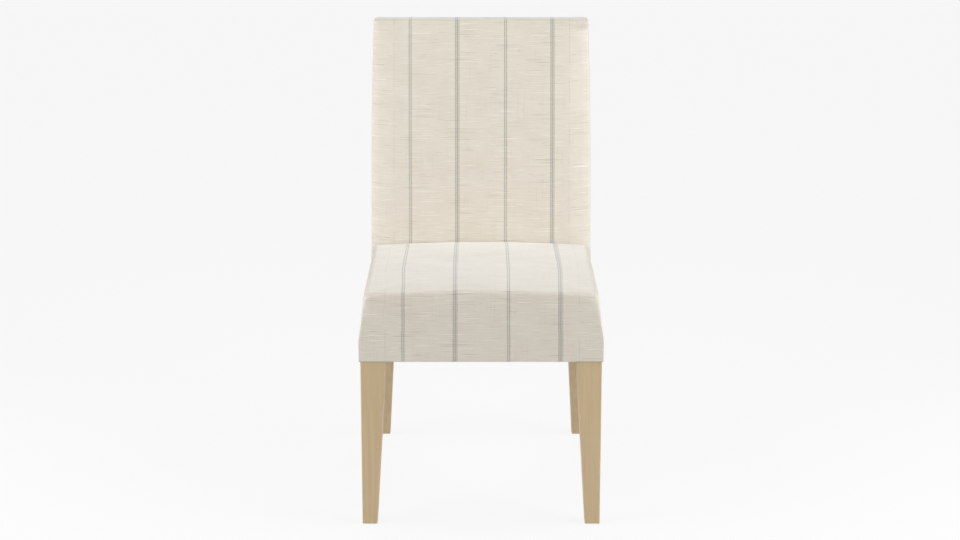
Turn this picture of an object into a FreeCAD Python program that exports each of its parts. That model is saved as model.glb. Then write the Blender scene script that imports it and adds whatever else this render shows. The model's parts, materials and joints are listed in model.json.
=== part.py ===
import FreeCAD, Part

import math
import os
import re

import Sketcher
from FreeCAD import Placement, Rotation, Vector

# Parsons dining chair: a hardwood frame with tapered legs, fully upholstered seat and back.
# Millimetres. The sitter faces -Y, +Z is up, X = 0 is the plane of symmetry and Z = 0 the floor.
# Y = 0 lies halfway between the front of the seat cover and the back of the rear feet.

SIZES = [
    ("FrameWidth", 480, "over the outer faces of the legs"),
    ("FrameDepth", 530, "front of the front legs to the rear of the back posts, at the rails"),
    ("OverallHeight", 965, "floor to the top of the back cover"),
    ("RailBottom", 345, "floor to the underside of the seat rails"),
    ("RailHeight", 70, "seat rails"),
    ("RailThick", 22, "every rail"),
    ("LegTop", 51, "side of a leg's square section at the rails"),
    ("LegFoot", 30, "side of a leg's square section at the floor"),
    ("LegEase", 1.5, "bevel along the long edges of the legs"),
    ("RearRake", 74, "how far the rear feet stand behind the frame"),
    ("RakeDrop", 30, "the rake starts this far below the rails"),
    ("LeanAngle", 10, "lean of the back, degrees"),
    ("WaistRise", 65, "rail top to the point where the back starts to lean"),
    ("WaistEase", 52, "the post thins towards the waist over this height"),
    ("WaistThick", 46, "front to rear thickness of the post at the waist"),
    ("RearBendRise", 35, "rail top to the bend in the rear face of the post"),
    ("PostTopThick", 30, "front to rear thickness of the post at its top"),
    ("PostLean", 7, "how far each side face of the post comes in towards its top"),
    ("BendRadius", 180, "sawn bends of the back post"),
    ("TopPad", 8, "padding over the posts and the crest rail"),
    ("CrestHeight", 60, "crest rail"),
    ("LowerRailHeight", 45, "lower back rail"),
    ("LowerRailRise", 22, "waist to the lower back rail, along the lean"),
    ("TenonThick", 10, "tenons of all rails"),
    ("TenonLength", 30, "tenons of all rails"),
    ("TenonShoulder", 8, "edge of a rail to the edge of its tenon"),
    ("HoleClearance", 0.3, "all round a bolt or pin"),
    ("HoleDepthSpare", 1, "beyond the tip of a tenon, bolt or pin"),
    ("RailBevel", 3.2, "bevel of the frame's upper outer edges, under the drawn in cover"),
    ("CornerBevel", 8, "bevel of the front legs' outer corners, under the same"),
    ("BlockArm", 62, "corner block, along each rail from the leg"),
    ("BlockLift", 7, "rail bottom to the corner block"),
    ("BlockDrop", 7, "rail top down to the corner block"),
    ("BlockGap", 0.5, "between a corner block and the leg in its notch"),
    ("BoltDiameter", 8, "hanger bolt"),
    ("BoltInLeg", 36, "hanger bolt's grip in the leg"),
    ("BoltSpare", 3, "bolt end beyond the nut"),
    ("WasherDiameter", 20, "under the hanger bolt's nut"),
    ("WasherThick", 1.6, "under the hanger bolt's nut"),
    ("NutAcross", 13, "across the nut's flats"),
    ("NutThick", 6.5, "nut"),
    ("GlideDiameter", 20, "nail-on foot glide"),
    ("GlideThick", 2, "floor to the underside of the leg"),
    ("GlidePin", 2.5, "glide's nail"),
    ("GlidePinLength", 12, "glide's nail in the leg"),
    ("WebWidth", 50, "webbing strap"),
    ("WebThick", 1.8, "webbing strap"),
    ("SeatWebPitch", 84, "spacing of the seat straps, about, each way"),
    ("BackWebPitch", 126, "spacing of the upright back straps, about"),
    ("BackCrossPitch", 72, "spacing of the crosswise back straps, about"),
    ("TackMargin", 9, "outer edge of a rail to the end of a strap"),
    ("ClothThick", 1, "deck cloth and lining cloth"),
    ("CoverThick", 1.4, "upholstery fabric"),
    ("WaddingThick", 4, "wadding between foam and cover"),
    ("LayerGap", 0.3, "between two layers of upholstery"),
    ("SeatRise", 69, "rail top to the seat cover's front edge"),
    ("SeatCrown", 7, "rise of the seat from its front edge to its middle"),
    ("CrossCrown", 6, "rise of the seat from its shoulders to its middle"),
    ("CrownSpan", 300, "width over which the seat's crown is one arc"),
    ("FrontShoulder", 24, "radius of the seat's upper side edges at the front"),
    ("RearShoulder", 34, "radius of the same edges at the back"),
    ("NoseRadius", 13, "radius of the seat's upper front edge"),
    ("CornerRadius", 3, "radius of the seat cover's upright front corners, at the frame"),
    ("FrontSideDraw", 9, "how far the seat's sides are drawn in at the front's shoulders"),
    ("RearSideDraw", 4, "the same at the back"),
    ("SideDrawDrop", 30, "the sides are upright up to this far below the rail top"),
    ("SideBend", 200, "radius where the side starts to draw in"),
    ("BackPad", 32, "front of the posts to the front of the back cover"),
    ("BackCrown", 3, "crown of the inside back, both ways"),
    ("BackFrontRadius", 60, "front part of the back's soft side edges"),
    ("BackSideRadius", 21, "side part of the back's soft side edges"),
    ("BackEdgeTurn", 40, "degrees turned by the front part"),
    ("CornerFade", 37, "how far back the soft corners fade out below the waist"),
    ("BackRearRadius", 2.5, "rear side edges of the back"),
    ("BackTopRadius", 8, "top edges of the back"),
    ("BackDraw", 6.5, "how far the back's sides are drawn in at the top"),
    ("BackTuck", 30, "the inside back reaches this far below the waist"),
    ("CoverTurn", 18, "width of a cover's turned edge"),
    ("PanelInset", 5, "edge of the outside back to the outline of the back"),
    ("DustThick", 0.8, "dust cover"),
    ("DustInset", 6, "frame's outline to the edge of the dust cover"),
    ("SheetMargin", 1, "between a cut edge of cloth or board and the wood or hem beside it"),
]

SUB_PART_TYPES = ("PartDesign::Body", "Part::Mirroring", "Part::Feature")

doc = FreeCAD.newDocument("ParsonsChair")
sheet = doc.addObject("Spreadsheet::Sheet", "Sizes")
for row, (alias, number, meaning) in enumerate(SIZES, start=1):
    sheet.set(f"A{row}", alias)
    sheet.set(f"B{row}", str(number))
    sheet.set(f"C{row}", meaning)
    sheet.setAlias(f"B{row}", alias)
doc.recompute()


def cells(formula):
    """The formula with each size's name turned into a reference to its cell."""
    return re.sub(r"\b[A-Z]\w+", lambda name: f"Sizes.{name.group()}", formula)


def value(formula):
    return float(sheet.evalExpression(cells(formula)))


# Places that several pieces share, written as formulas of the sizes
HALF = "(FrameWidth / 2)"
INNER = f"({HALF} - LegTop)"
SKIN = "(CoverThick + LayerGap)"
LEG_FRONT = f"(({SKIN} - FrameDepth - RearRake) / 2)"
LEG_REAR = f"({LEG_FRONT} + LegTop)"
FRAME_BACK = f"({LEG_FRONT} + FrameDepth)"
POST_FRONT = f"({FRAME_BACK} - LegTop)"
FOOT_BACK = f"({FRAME_BACK} + RearRake)"
RAIL_TOP = "(RailBottom + RailHeight)"
RAKE_Z = "(RailBottom - RakeDrop)"
WAIST_Z = f"({RAIL_TOP} + WaistRise)"
WAIST_LOW_Z = f"({WAIST_Z} - WaistEase)"
WAIST_FRONT = f"({FRAME_BACK} - WaistThick)"
REAR_BEND_Z = f"({RAIL_TOP} + RearBendRise)"
POST_TOP_Z = "(OverallHeight - TopPad)"
POST_TOP_FRONT = f"({WAIST_FRONT} + ({POST_TOP_Z} - {WAIST_Z}) * tan(LeanAngle * 1deg))"
POST_TOP_REAR = f"({POST_TOP_FRONT} + PostTopThick * cos(LeanAngle * 1deg))"
POST_TOP_REAR_Z = f"({POST_TOP_Z} - PostTopThick * sin(LeanAngle * 1deg))"
LEAN_LENGTH = f"(({POST_TOP_Z} - {WAIST_Z}) / cos(LeanAngle * 1deg))"
HEM_Z = f"(RailBottom - {SKIN})"
SIDE_INNER = f"({HALF} - RailThick)"
FRONT_RAIL_REAR = f"({LEG_FRONT} + RailThick)"
REAR_RAIL_FRONT = f"({FRAME_BACK} - RailThick)"
TENON_BOTTOM = "(RailBottom + TenonShoulder)"
TENON_TOP = f"({RAIL_TOP} - TenonShoulder)"
TENON_NEAR = "((RailThick - TenonThick) / 2)"
TENON_FAR = "((RailThick + TenonThick) / 2)"
MORTISE_DEPTH = "(TenonLength + HoleDepthSpare)"
BOLT_HOLE = "(BoltDiameter + 2 * HoleClearance)"
BLOCK_HEIGHT = "(RailHeight - BlockLift - BlockDrop)"
BLOCK_MIDDLE = f"(RailBottom + BlockLift + {BLOCK_HEIGHT} / 2)"
DECK_UNDER = "(2 * WebThick + 2 * LayerGap)"
DECK_TOP = f"({DECK_UNDER} + ClothThick)"
CREST_LOW = f"({LEAN_LENGTH} - CrestHeight)"
CREST_MIDDLE = f"({LEAN_LENGTH} - CrestHeight / 2)"
LOWER_RAIL_MIDDLE = "(LowerRailRise + LowerRailHeight / 2)"


def inner_face(height):
    """X of a back post's inner face at a height above the low end of the waist."""
    return f"({INNER} + PostLean * (({height}) - {WAIST_LOW_Z}) / ({POST_TOP_Z} - {WAIST_LOW_Z}))"


def lean_height(up, behind):
    """Height of a point of the leaning back: up along the lean, behind the front of the posts."""
    return f"({WAIST_Z} + ({up}) * cos(LeanAngle * 1deg) - ({behind}) * sin(LeanAngle * 1deg))"


def lean_depth(up, behind):
    """Y of the same point."""
    return f"({WAIST_FRONT} + ({up}) * sin(LeanAngle * 1deg) + ({behind}) * cos(LeanAngle * 1deg))"


class Piece:
    """A sub-part modelled as a body. A feature's plane is square to an axis, at a place along it."""

    PLANES = {"X": ("YZ_Plane", 1), "Y": ("XZ_Plane", -1), "Z": ("XY_Plane", 1)}

    def __init__(self, label):
        self.body = doc.addObject("PartDesign::Body", label)
        self.body.Label = label

    def sketch(self, name, axis, at):
        role, sign = self.PLANES[axis]
        plane = next(f for f in self.body.Origin.OriginFeatures if f.Role == role)
        sketch = self.body.newObject("Sketcher::SketchObject", f"{name}_sketch")
        sketch.AttachmentSupport = [(plane, "")]
        sketch.MapMode = "FlatFace"
        sketch.setExpression("AttachmentOffset.Base.z", cells(f"{sign} * ({at})"))
        return sketch

    def fix_point(self, sketch, geometry, point, place):
        for kind, formula in zip(("DistanceX", "DistanceY"), place):
            constraint = Sketcher.Constraint(kind, -1, 1, geometry, point, value(formula))
            index = sketch.addConstraint(constraint)
            sketch.setExpression(f"Constraints[{index}]", cells(formula))

    def polygon(self, sketch, corners):
        first = sketch.GeometryCount
        points = [Vector(value(u), value(v), 0) for u, v in corners]
        for start, end in zip(points, points[1:] + points[:1]):
            sketch.addGeometry(Part.LineSegment(start, end), False)
        for index, corner in enumerate(corners):
            follows = first + (index + 1) % len(corners)
            sketch.addConstraint(Sketcher.Constraint("Coincident", first + index, 2, follows, 1))
            self.fix_point(sketch, first + index, 1, corner)

    def circles(self, sketch, centres, diameter):
        for centre in centres:
            place = Vector(value(centre[0]), value(centre[1]), 0)
            circle = Part.Circle(place, Vector(0, 0, 1), value(diameter) / 2)
            geometry = sketch.addGeometry(circle, False)
            self.fix_point(sketch, geometry, 3, centre)
            index = sketch.addConstraint(Sketcher.Constraint("Diameter", geometry, value(diameter)))
            sketch.setExpression(f"Constraints[{index}]", cells(diameter))

    def feature(self, kind, name, sketch, length, flipped):
        made = self.body.newObject(f"PartDesign::{kind}", name)
        made.Profile = sketch
        made.setExpression("Length", cells(length))
        made.Reversed = flipped
        return made

    def pad(self, name, axis, at, corners, length, towards=1):
        sketch = self.sketch(name, axis, at)
        self.polygon(sketch, corners)
        return self.feature("Pad", name, sketch, length, self.PLANES[axis][1] != towards)

    def cut(self, name, axis, at, polygons, length, towards):
        sketch = self.sketch(name, axis, at)
        for corners in polygons:
            self.polygon(sketch, corners)
        return self.feature("Pocket", name, sketch, length, self.PLANES[axis][1] == towards)

    def drill(self, name, axis, at, centres, diameter, length, towards):
        sketch = self.sketch(name, axis, at)
        self.circles(sketch, centres, diameter)
        return self.feature("Pocket", name, sketch, length, self.PLANES[axis][1] == towards)

    def drill_diagonal(self, name, corner, diameter, length, both_ways):
        """A hole at 45 degrees in plan, from a point out towards +X -Y, or as far both ways."""
        sketch = self.sketch(name, "Y", corner[1])
        sketch.AttachmentOffset = Placement(Vector(), Rotation(Vector(0, 1, 0), 45))
        sketch.setExpression("AttachmentOffset.Base.x", cells(corner[0]))
        sketch.setExpression("AttachmentOffset.Base.y", cells(corner[2]))
        self.circles(sketch, [("0", "0")], diameter)
        hole = self.feature("Pocket", name, sketch, length, True)
        hole.Midplane = both_ways

    def loft(self, name, low_sketch, high_sketch):
        lofted = self.body.newObject("PartDesign::AdditiveLoft", name)
        lofted.Profile = low_sketch
        lofted.Sections = [high_sketch]
        lofted.Ruled = True

    def dress(self, kind, name, size, wanted):
        doc.recompute()
        base = self.body.Tip
        names = [f"Edge{i}" for i, edge in enumerate(base.Shape.Edges, start=1) if wanted(edge)]
        dressing = self.body.newObject(f"PartDesign::{kind}", name)
        dressing.Base = (base, names)
        dressing.setExpression("Radius" if kind == "Fillet" else "Size", cells(size))

    def lean(self):
        """Moves the piece from its upright frame into the back's: the origin goes to the waist."""
        self.body.Placement = Placement(Vector(), Rotation(Vector(1, 0, 0), -1))
        self.body.setExpression("Placement.Base.y", cells(WAIST_FRONT))
        self.body.setExpression("Placement.Base.z", cells(WAIST_Z))
        self.body.setExpression("Placement.Rotation.Angle", cells("-LeanAngle"))


def mirrored_copy(label, source):
    """The piece of the other side of the chair."""
    copy = doc.addObject("Part::Mirroring", label)
    copy.Label = label
    copy.Source = source
    copy.Normal = Vector(1, 0, 0)


def rectangle(u_low, u_high, v_low, v_high):
    return [(u_low, v_low), (u_high, v_low), (u_high, v_high), (u_low, v_high)]


def bevelled_square(u_low, u_high, v_low, v_high):
    """A square whose corners are cut off by LegEase."""
    ease = "LegEase"
    return [
        (f"{u_low} + {ease}", v_low),
        (f"{u_high} - {ease}", v_low),
        (u_high, f"{v_low} + {ease}"),
        (u_high, f"{v_high} - {ease}"),
        (f"{u_high} - {ease}", v_high),
        (f"{u_low} + {ease}", v_high),
        (u_low, f"{v_high} - {ease}"),
        (u_low, f"{v_low} + {ease}"),
    ]


# Bevel under the drawn in sides of the seat cover, as a triangle in X and Z
BEVEL_START = f"({RAIL_TOP} - SideDrawDrop - RailBevel)"
RAIL_BEVEL = [(HALF, BEVEL_START), (HALF, RAIL_TOP), (f"{HALF} - RailBevel", RAIL_TOP)]


# Legs and back posts

def pin_hole(leg, x, y):
    depth = "(GlidePinLength + HoleDepthSpare)"
    leg.drill("glide_pin_hole", "Z", "GlideThick", [(x, y)], "(GlidePin + 2 * HoleClearance)", depth, 1)


def front_leg():
    leg = Piece("front_leg_right")
    foot = leg.sketch("foot", "Z", "GlideThick")
    foot_front = f"({LEG_FRONT} + LegFoot)"
    leg.polygon(foot, bevelled_square(f"({HALF} - LegFoot)", HALF, LEG_FRONT, foot_front))
    knee_outline = bevelled_square(INNER, HALF, LEG_FRONT, LEG_REAR)
    knee = leg.sketch("knee", "Z", "RailBottom")
    leg.polygon(knee, knee_outline)
    leg.loft("taper", foot, knee)
    leg.pad("square_top", "Z", "RailBottom", knee_outline, "RailHeight")
    near = f"{LEG_FRONT} + {TENON_NEAR}"
    far = f"{LEG_FRONT} + {TENON_FAR}"
    front_mortise = rectangle(near, far, TENON_BOTTOM, TENON_TOP)
    leg.cut("front_rail_mortise", "X", INNER, [front_mortise], MORTISE_DEPTH, 1)
    side_mortise = rectangle(f"{HALF} - {TENON_FAR}", f"{HALF} - {TENON_NEAR}", TENON_BOTTOM, TENON_TOP)
    leg.cut("side_rail_mortise", "Y", LEG_REAR, [side_mortise], MORTISE_DEPTH, -1)
    leg.cut("top_bevel", "Y", LEG_FRONT, [RAIL_BEVEL], "LegTop", 1)
    corner = [
        (f"{HALF} - CornerBevel", LEG_FRONT),
        (HALF, LEG_FRONT),
        (HALF, f"{LEG_FRONT} + CornerBevel"),
    ]
    leg.cut("corner_bevel", "Z", BEVEL_START, [corner], "RailHeight", 1)
    bolt_depth = "(BoltInLeg + HoleDepthSpare)"
    leg.drill_diagonal("hanger_bolt_hole", (INNER, LEG_REAR, BLOCK_MIDDLE), BOLT_HOLE, bolt_depth, False)
    pin_hole(leg, f"{HALF} - LegFoot / 2", f"{LEG_FRONT} + LegFoot / 2")
    return leg.body


def is_rear_bend(edge):
    """A crosswise edge at the height of the bend in the rear of the posts."""
    return abs(edge.BoundBox.ZMin - value(REAR_BEND_Z)) < 1 and edge.BoundBox.ZLength < 1


def is_sawn_bend(edge):
    """The crosswise edges of the post's side profile, apart from its ends and the rear bend."""
    runs_across = abs(edge.tangentAt(edge.FirstParameter).x) > 0.9
    inside = value(RAKE_Z) - 1 < edge.BoundBox.ZMin < value(WAIST_Z) + 1
    return runs_across and inside and not is_rear_bend(edge)


def is_leg_edge(edge):
    """The long edges that run up from the foot."""
    return edge.Length > value("LegTop") and edge.BoundBox.ZMin < value("RailBottom") / 2


def back_mortise(low, height):
    """Outline in Y and Z of a leaning rail's mortise."""
    bottom = f"{low} + TenonShoulder"
    top = f"{low} + {height} - TenonShoulder"
    places = rectangle(TENON_NEAR, TENON_FAR, bottom, top)
    return [(lean_depth(up, behind), lean_height(up, behind)) for behind, up in places]


def back_post():
    post = Piece("back_post_right")
    side_profile = [
        (f"{FOOT_BACK} - LegFoot", "GlideThick"),
        (FOOT_BACK, "GlideThick"),
        (FRAME_BACK, RAKE_Z),
        (FRAME_BACK, REAR_BEND_Z),
        (POST_TOP_REAR, POST_TOP_REAR_Z),
        (POST_TOP_FRONT, POST_TOP_Z),
        (WAIST_FRONT, WAIST_Z),
        (POST_FRONT, WAIST_LOW_Z),
        (POST_FRONT, RAKE_Z),
    ]
    post.pad("side_profile", "X", INNER, side_profile, "LegTop")
    post.dress("Fillet", "sawn_bends", "BendRadius", is_sawn_bend)
    foot_taper = [(INNER, "GlideThick"), (f"{HALF} - LegFoot", "GlideThick"), (INNER, "RailBottom")]
    inner_lean = [(INNER, WAIST_LOW_Z), (f"{INNER} + PostLean", POST_TOP_Z), (INNER, POST_TOP_Z)]
    outer_lean = [(HALF, WAIST_Z), (HALF, POST_TOP_Z), (f"{HALF} - PostLean", POST_TOP_Z)]
    through = "(FrameDepth + RearRake)"
    post.cut("foot_taper", "Y", "0", [foot_taper], through, 1)
    post.dress("Chamfer", "eased_edges", "LegEase", is_leg_edge)
    post.cut("back_tapers", "Y", "0", [inner_lean, outer_lean], through, 1)
    near = f"{FRAME_BACK} - {TENON_FAR}"
    far = f"{FRAME_BACK} - {TENON_NEAR}"
    rear_mortise = rectangle(near, far, TENON_BOTTOM, TENON_TOP)
    post.cut("rear_rail_mortise", "X", INNER, [rear_mortise], MORTISE_DEPTH, 1)
    side_mortise = rectangle(f"{HALF} - {TENON_FAR}", f"{HALF} - {TENON_NEAR}", TENON_BOTTOM, TENON_TOP)
    post.cut("side_rail_mortise", "Y", POST_FRONT, [side_mortise], MORTISE_DEPTH, 1)
    back_mortises = [back_mortise("LowerRailRise", "LowerRailHeight"), back_mortise(CREST_LOW, "CrestHeight")]
    reach = f"(PostLean + {MORTISE_DEPTH})"
    post.cut("back_rail_mortises", "X", INNER, back_mortises, reach, 1)
    pin_hole(post, f"{HALF} - LegFoot / 2", f"{FOOT_BACK} - LegFoot / 2")
    return post.body


# Rails

def long_rail(label, face, way):
    """Front or rear seat rail, from its outer face inwards. way is 1 for +Y and -1 for -Y."""
    rail = Piece(label)
    board = rectangle(f"-{INNER}", INNER, "RailBottom", RAIL_TOP)
    rail.pad("board", "Y", face, board, "RailThick", way)
    reach = f"({INNER} + TenonLength)"
    tongue = rectangle(f"-{reach}", reach, TENON_BOTTOM, TENON_TOP)
    rail.pad("tenons", "Y", f"{face} + {way} * {TENON_NEAR}", tongue, "TenonThick", way)
    return rail.body


def side_rail():
    rail = Piece("side_rail_right")
    board = rectangle(SIDE_INNER, HALF, LEG_REAR, POST_FRONT)
    rail.pad("board", "Z", "RailBottom", board, "RailHeight")
    front = f"{LEG_REAR} - TenonLength"
    rear = f"{POST_FRONT} + TenonLength"
    tongue = rectangle(f"{HALF} - {TENON_FAR}", f"{HALF} - {TENON_NEAR}", front, rear)
    rail.pad("tenons", "Z", TENON_BOTTOM, tongue, "(RailHeight - 2 * TenonShoulder)")
    rail.cut("top_bevel", "Y", LEG_REAR, [RAIL_BEVEL], "FrameDepth", 1)
    return rail.body


def back_rail(label, low, height):
    """Crest rail or lower back rail, flush with the front of the leaning posts, shoulders cut to fit."""
    rail = Piece(label)
    low_end = inner_face(lean_height(low, "RailThick"))
    high_end = inner_face(lean_height(f"{low} + {height}", "RailThick"))
    top = f"{low} + {height}"
    board = [(f"-{low_end}", low), (low_end, low), (high_end, top), (f"-{high_end}", top)]
    rail.pad("board", "Y", "0", board, "RailThick", 1)
    reach = f"({INNER} + TenonLength)"
    tongue = rectangle(f"-{reach}", reach, f"{low} + TenonShoulder", f"{top} - TenonShoulder")
    rail.pad("tenons", "Y", TENON_NEAR, tongue, "TenonThick", 1)
    rail.lean()
    return rail.body


# Joinery

def corner_block(label, rail_face, leg_face, way):
    """Glue block between a rail across, a leg and a side rail. way is 1 for +Y and -1 for -Y."""
    block = Piece(label)
    outline = [
        (f"{INNER} - BlockArm", rail_face),
        (f"{INNER} - BlockGap", rail_face),
        (f"{INNER} - BlockGap", f"{leg_face} + {way} * BlockGap"),
        (SIDE_INNER, f"{leg_face} + {way} * BlockGap"),
        (SIDE_INNER, f"{leg_face} + {way} * BlockArm"),
    ]
    block.pad("outline", "Z", "RailBottom + BlockLift", outline, BLOCK_HEIGHT)
    return block


def front_corner_block():
    block = corner_block("corner_block_front_right", FRONT_RAIL_REAR, LEG_REAR, 1)
    corner = (INNER, LEG_REAR, BLOCK_MIDDLE)
    block.drill_diagonal("hanger_bolt_hole", corner, BOLT_HOLE, "2 * BlockArm", True)
    return block.body


def rear_corner_block():
    return corner_block("corner_block_rear_right", REAR_RAIL_FRONT, POST_FRONT, -1).body


def solids_node(label, solids, place=None):
    """A node of separate identical pieces, or of a form that is built up here."""
    node = doc.addObject("Part::Feature", label)
    node.Label = label
    node.Shape = solids[0] if len(solids) == 1 else Part.makeCompound(solids)
    if place is not None:
        node.Placement = place
    return node


def cylinder(centre, axis, diameter, start, end):
    axis = Vector(axis).normalize()
    return Part.makeCylinder(diameter / 2, end - start, centre + axis * start, axis)


LEAN_PLACE = Placement(
    Vector(0, value(WAIST_FRONT), value(WAIST_Z)),
    Rotation(Vector(1, 0, 0), -value("LeanAngle")),
)
SIDES = (-1, 1)


def on_bolts(make):
    """make(corner, axis) at each front leg's inner corner, with the axis pointing out of the leg."""
    made = []
    for side in SIDES:
        corner = Vector(side * value(INNER), value(LEG_REAR), value(BLOCK_MIDDLE))
        made.append(make(corner, Vector(-side, 1, 0)))
    return made


# Along a hanger bolt, from the leg's corner: the far face of the block, then washer, nut and bolt end
BLOCK_FACE = value("(BlockArm - LegTop + RailThick) / sqrt(2)")
WASHER_FACE = BLOCK_FACE + value("WasherThick")
NUT_FACE = WASHER_FACE + value("NutThick")


def hanger_bolt(corner, axis):
    return cylinder(corner, axis, value("BoltDiameter"), -value("BoltInLeg"), NUT_FACE + value("BoltSpare"))


def washer(corner, axis):
    disc = cylinder(corner, axis, value("WasherDiameter"), BLOCK_FACE, WASHER_FACE)
    return disc.cut(cylinder(corner, axis, value(BOLT_HOLE), BLOCK_FACE, WASHER_FACE))


def nut(corner, axis):
    corner_radius = value("NutAcross") / math.sqrt(3)
    points = []
    for step in range(7):
        angle = math.radians(60 * step)
        points.append(Vector(corner_radius * math.cos(angle), corner_radius * math.sin(angle), 0))
    hexagon = Part.Face(Part.makePolygon(points)).extrude(Vector(0, 0, value("NutThick")))
    bore = Part.makeCylinder(value(BOLT_HOLE) / 2, value("NutThick"))
    made = hexagon.cut(bore)
    axis = Vector(axis).normalize()
    made.Placement = Placement(corner + axis * WASHER_FACE, Rotation(Vector(0, 0, 1), axis))
    return made


def glide():
    """Disc with a bevelled rim and a nail, turned about Z, its lower face at Z = 0."""
    radius = value("GlideDiameter") / 2
    rim = value("GlideThick") / 4
    thick = value("GlideThick")
    pin = value("GlidePin") / 2
    tip = thick + value("GlidePinLength")
    outline = [(0, 0), (radius - rim, 0), (radius, rim), (radius, thick), (pin, thick), (pin, tip), (0, tip)]
    points = [Vector(across, 0, height) for across, height in outline]
    face = Part.Face(Part.makePolygon(points + points[:1]))
    return face.revolve(Vector(), Vector(0, 0, 1), 360).Solids[0]


def foot_glides():
    across = value(f"{HALF} - LegFoot / 2")
    feet = (value(f"{LEG_FRONT} + LegFoot / 2"), value(f"{FOOT_BACK} - LegFoot / 2"))
    glides = [glide().translated(Vector(side * across, y, 0)) for side in SIDES for y in feet]
    return solids_node("foot_glides", glides)


# Webbing

def strap(run, crossings, half_run, grip, offset, high_first):
    """One woven strap along local X or Y. It lies flat on both rails and over or under each crossing."""
    half = value("WebWidth") / 2
    thick = value("WebThick")
    step = value("WebThick + LayerGap")
    flat_half = half + value("SheetMargin")
    under = [(-half_run, 0), (grip - half_run, 0)]
    for index, place in enumerate(crossings):
        level = step if (index % 2 == 0) == high_first else 0
        under += [(place - flat_half, level), (place + flat_half, level)]
    under += [(half_run - grip, 0), (half_run, 0)]
    outline = under + [(along, level + thick) for along, level in reversed(under)]
    if run == "X":
        points = [Vector(along, offset - half, level) for along, level in outline]
        width = Vector(0, 2 * half, 0)
    else:
        points = [Vector(offset - half, along, level) for along, level in outline]
        width = Vector(2 * half, 0, 0)
    return Part.Face(Part.makePolygon(points + points[:1])).extrude(width)


def strap_places(length, pitch):
    """Middles of an odd number of straps about a pitch apart, spread evenly over a length round 0."""
    pairs = round((length / pitch - 1) / 2)
    count = 2 * pairs + 1
    return [length * ((index + 0.5) / count - 0.5) for index in range(count)]


def woven(names, columns, rows, half_runs, grips, place):
    """Straps along local Y at the columns and along local X at the rows. Odd counts keep it symmetric."""
    along = []
    for index, x in enumerate(columns):
        along.append(strap("Y", rows, half_runs[1], grips[1], x, index % 2 == 0))
    across = []
    for index, y in enumerate(rows):
        across.append(strap("X", columns, half_runs[0], grips[0], y, index % 2 == 1))
    solids_node(names[0], along, place)
    solids_node(names[1], across, place)


def seat_webbing():
    """Straps over the seat frame, clear of the back posts."""
    pitch = value("SeatWebPitch")
    frame_middle = value(f"({LEG_FRONT} + {FRAME_BACK}) / 2")
    rows_middle = value(f"({FRONT_RAIL_REAR} + {POST_FRONT}) / 2")
    columns = strap_places(value(f"2 * {INNER}"), pitch)
    row_places = strap_places(value(f"{POST_FRONT} - {FRONT_RAIL_REAR}"), pitch)
    rows = [y + rows_middle - frame_middle for y in row_places]
    half_runs = (value(f"{HALF} - TackMargin"), value("FrameDepth / 2 - TackMargin"))
    grip = value("RailThick - TackMargin")
    place = Placement(Vector(0, frame_middle, value(RAIL_TOP)), Rotation())
    names = ("seat_webbing_lengthwise", "seat_webbing_crosswise")
    woven(names, columns, rows, half_runs, (grip, grip), place)


def back_frame():
    """Placement whose local Y climbs the posts' front faces and whose local Z looks forward."""
    middle = value(f"({LOWER_RAIL_MIDDLE} + {CREST_MIDDLE}) / 2")
    turn = Rotation(Vector(1, 0, 0), 90)
    return LEAN_PLACE.multiply(Placement(Vector(0, 0, middle), turn))


def back_webbing():
    columns = strap_places(value(f"2 * {INNER}"), value("BackWebPitch"))
    opening = value(f"{CREST_LOW} - LowerRailRise - LowerRailHeight")
    opening_middle = f"({CREST_LOW} + LowerRailRise + LowerRailHeight) / 2"
    rows_middle = value(f"{opening_middle} - ({LOWER_RAIL_MIDDLE} + {CREST_MIDDLE}) / 2")
    rows = [y + rows_middle for y in strap_places(opening, value("BackCrossPitch"))]
    half_runs = (value(f"{INNER} + LegTop / 2"), value(f"({CREST_MIDDLE} - {LOWER_RAIL_MIDDLE}) / 2"))
    grips = (value("LegTop / 2"), value("LowerRailHeight / 2"))
    names = ("back_webbing_upright", "back_webbing_crosswise")
    woven(names, columns, rows, half_runs, grips, back_frame())


def seat_deck_cloth():
    cloth = Piece("seat_deck_cloth")
    side = f"({HALF} - TackMargin)"
    front = f"({LEG_FRONT} + TackMargin)"
    rear = f"({FRAME_BACK} - TackMargin)"
    right = [
        (side, front),
        (side, f"{POST_FRONT} - SheetMargin"),
        (f"{INNER} - SheetMargin", f"{POST_FRONT} - SheetMargin"),
        (f"{INNER} - SheetMargin", rear),
    ]
    left = [(f"-({x})", y) for x, y in reversed(right)]
    cloth.pad("sheet", "Z", f"{RAIL_TOP} + {DECK_UNDER}", right + left, "ClothThick")
    return cloth.body


def back_lining_cloth():
    cloth = Piece("back_lining_cloth")
    side = f"({INNER} + LegTop / 2)"
    outline = rectangle(f"-{side}", side, LOWER_RAIL_MIDDLE, CREST_MIDDLE)
    cloth.pad("sheet", "Y", f"-{DECK_UNDER}", outline, "ClothThick", -1)
    cloth.lean()
    return cloth.body


# Soft forms: cross-sections of lines and tangent arcs, lofted one to the next

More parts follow.
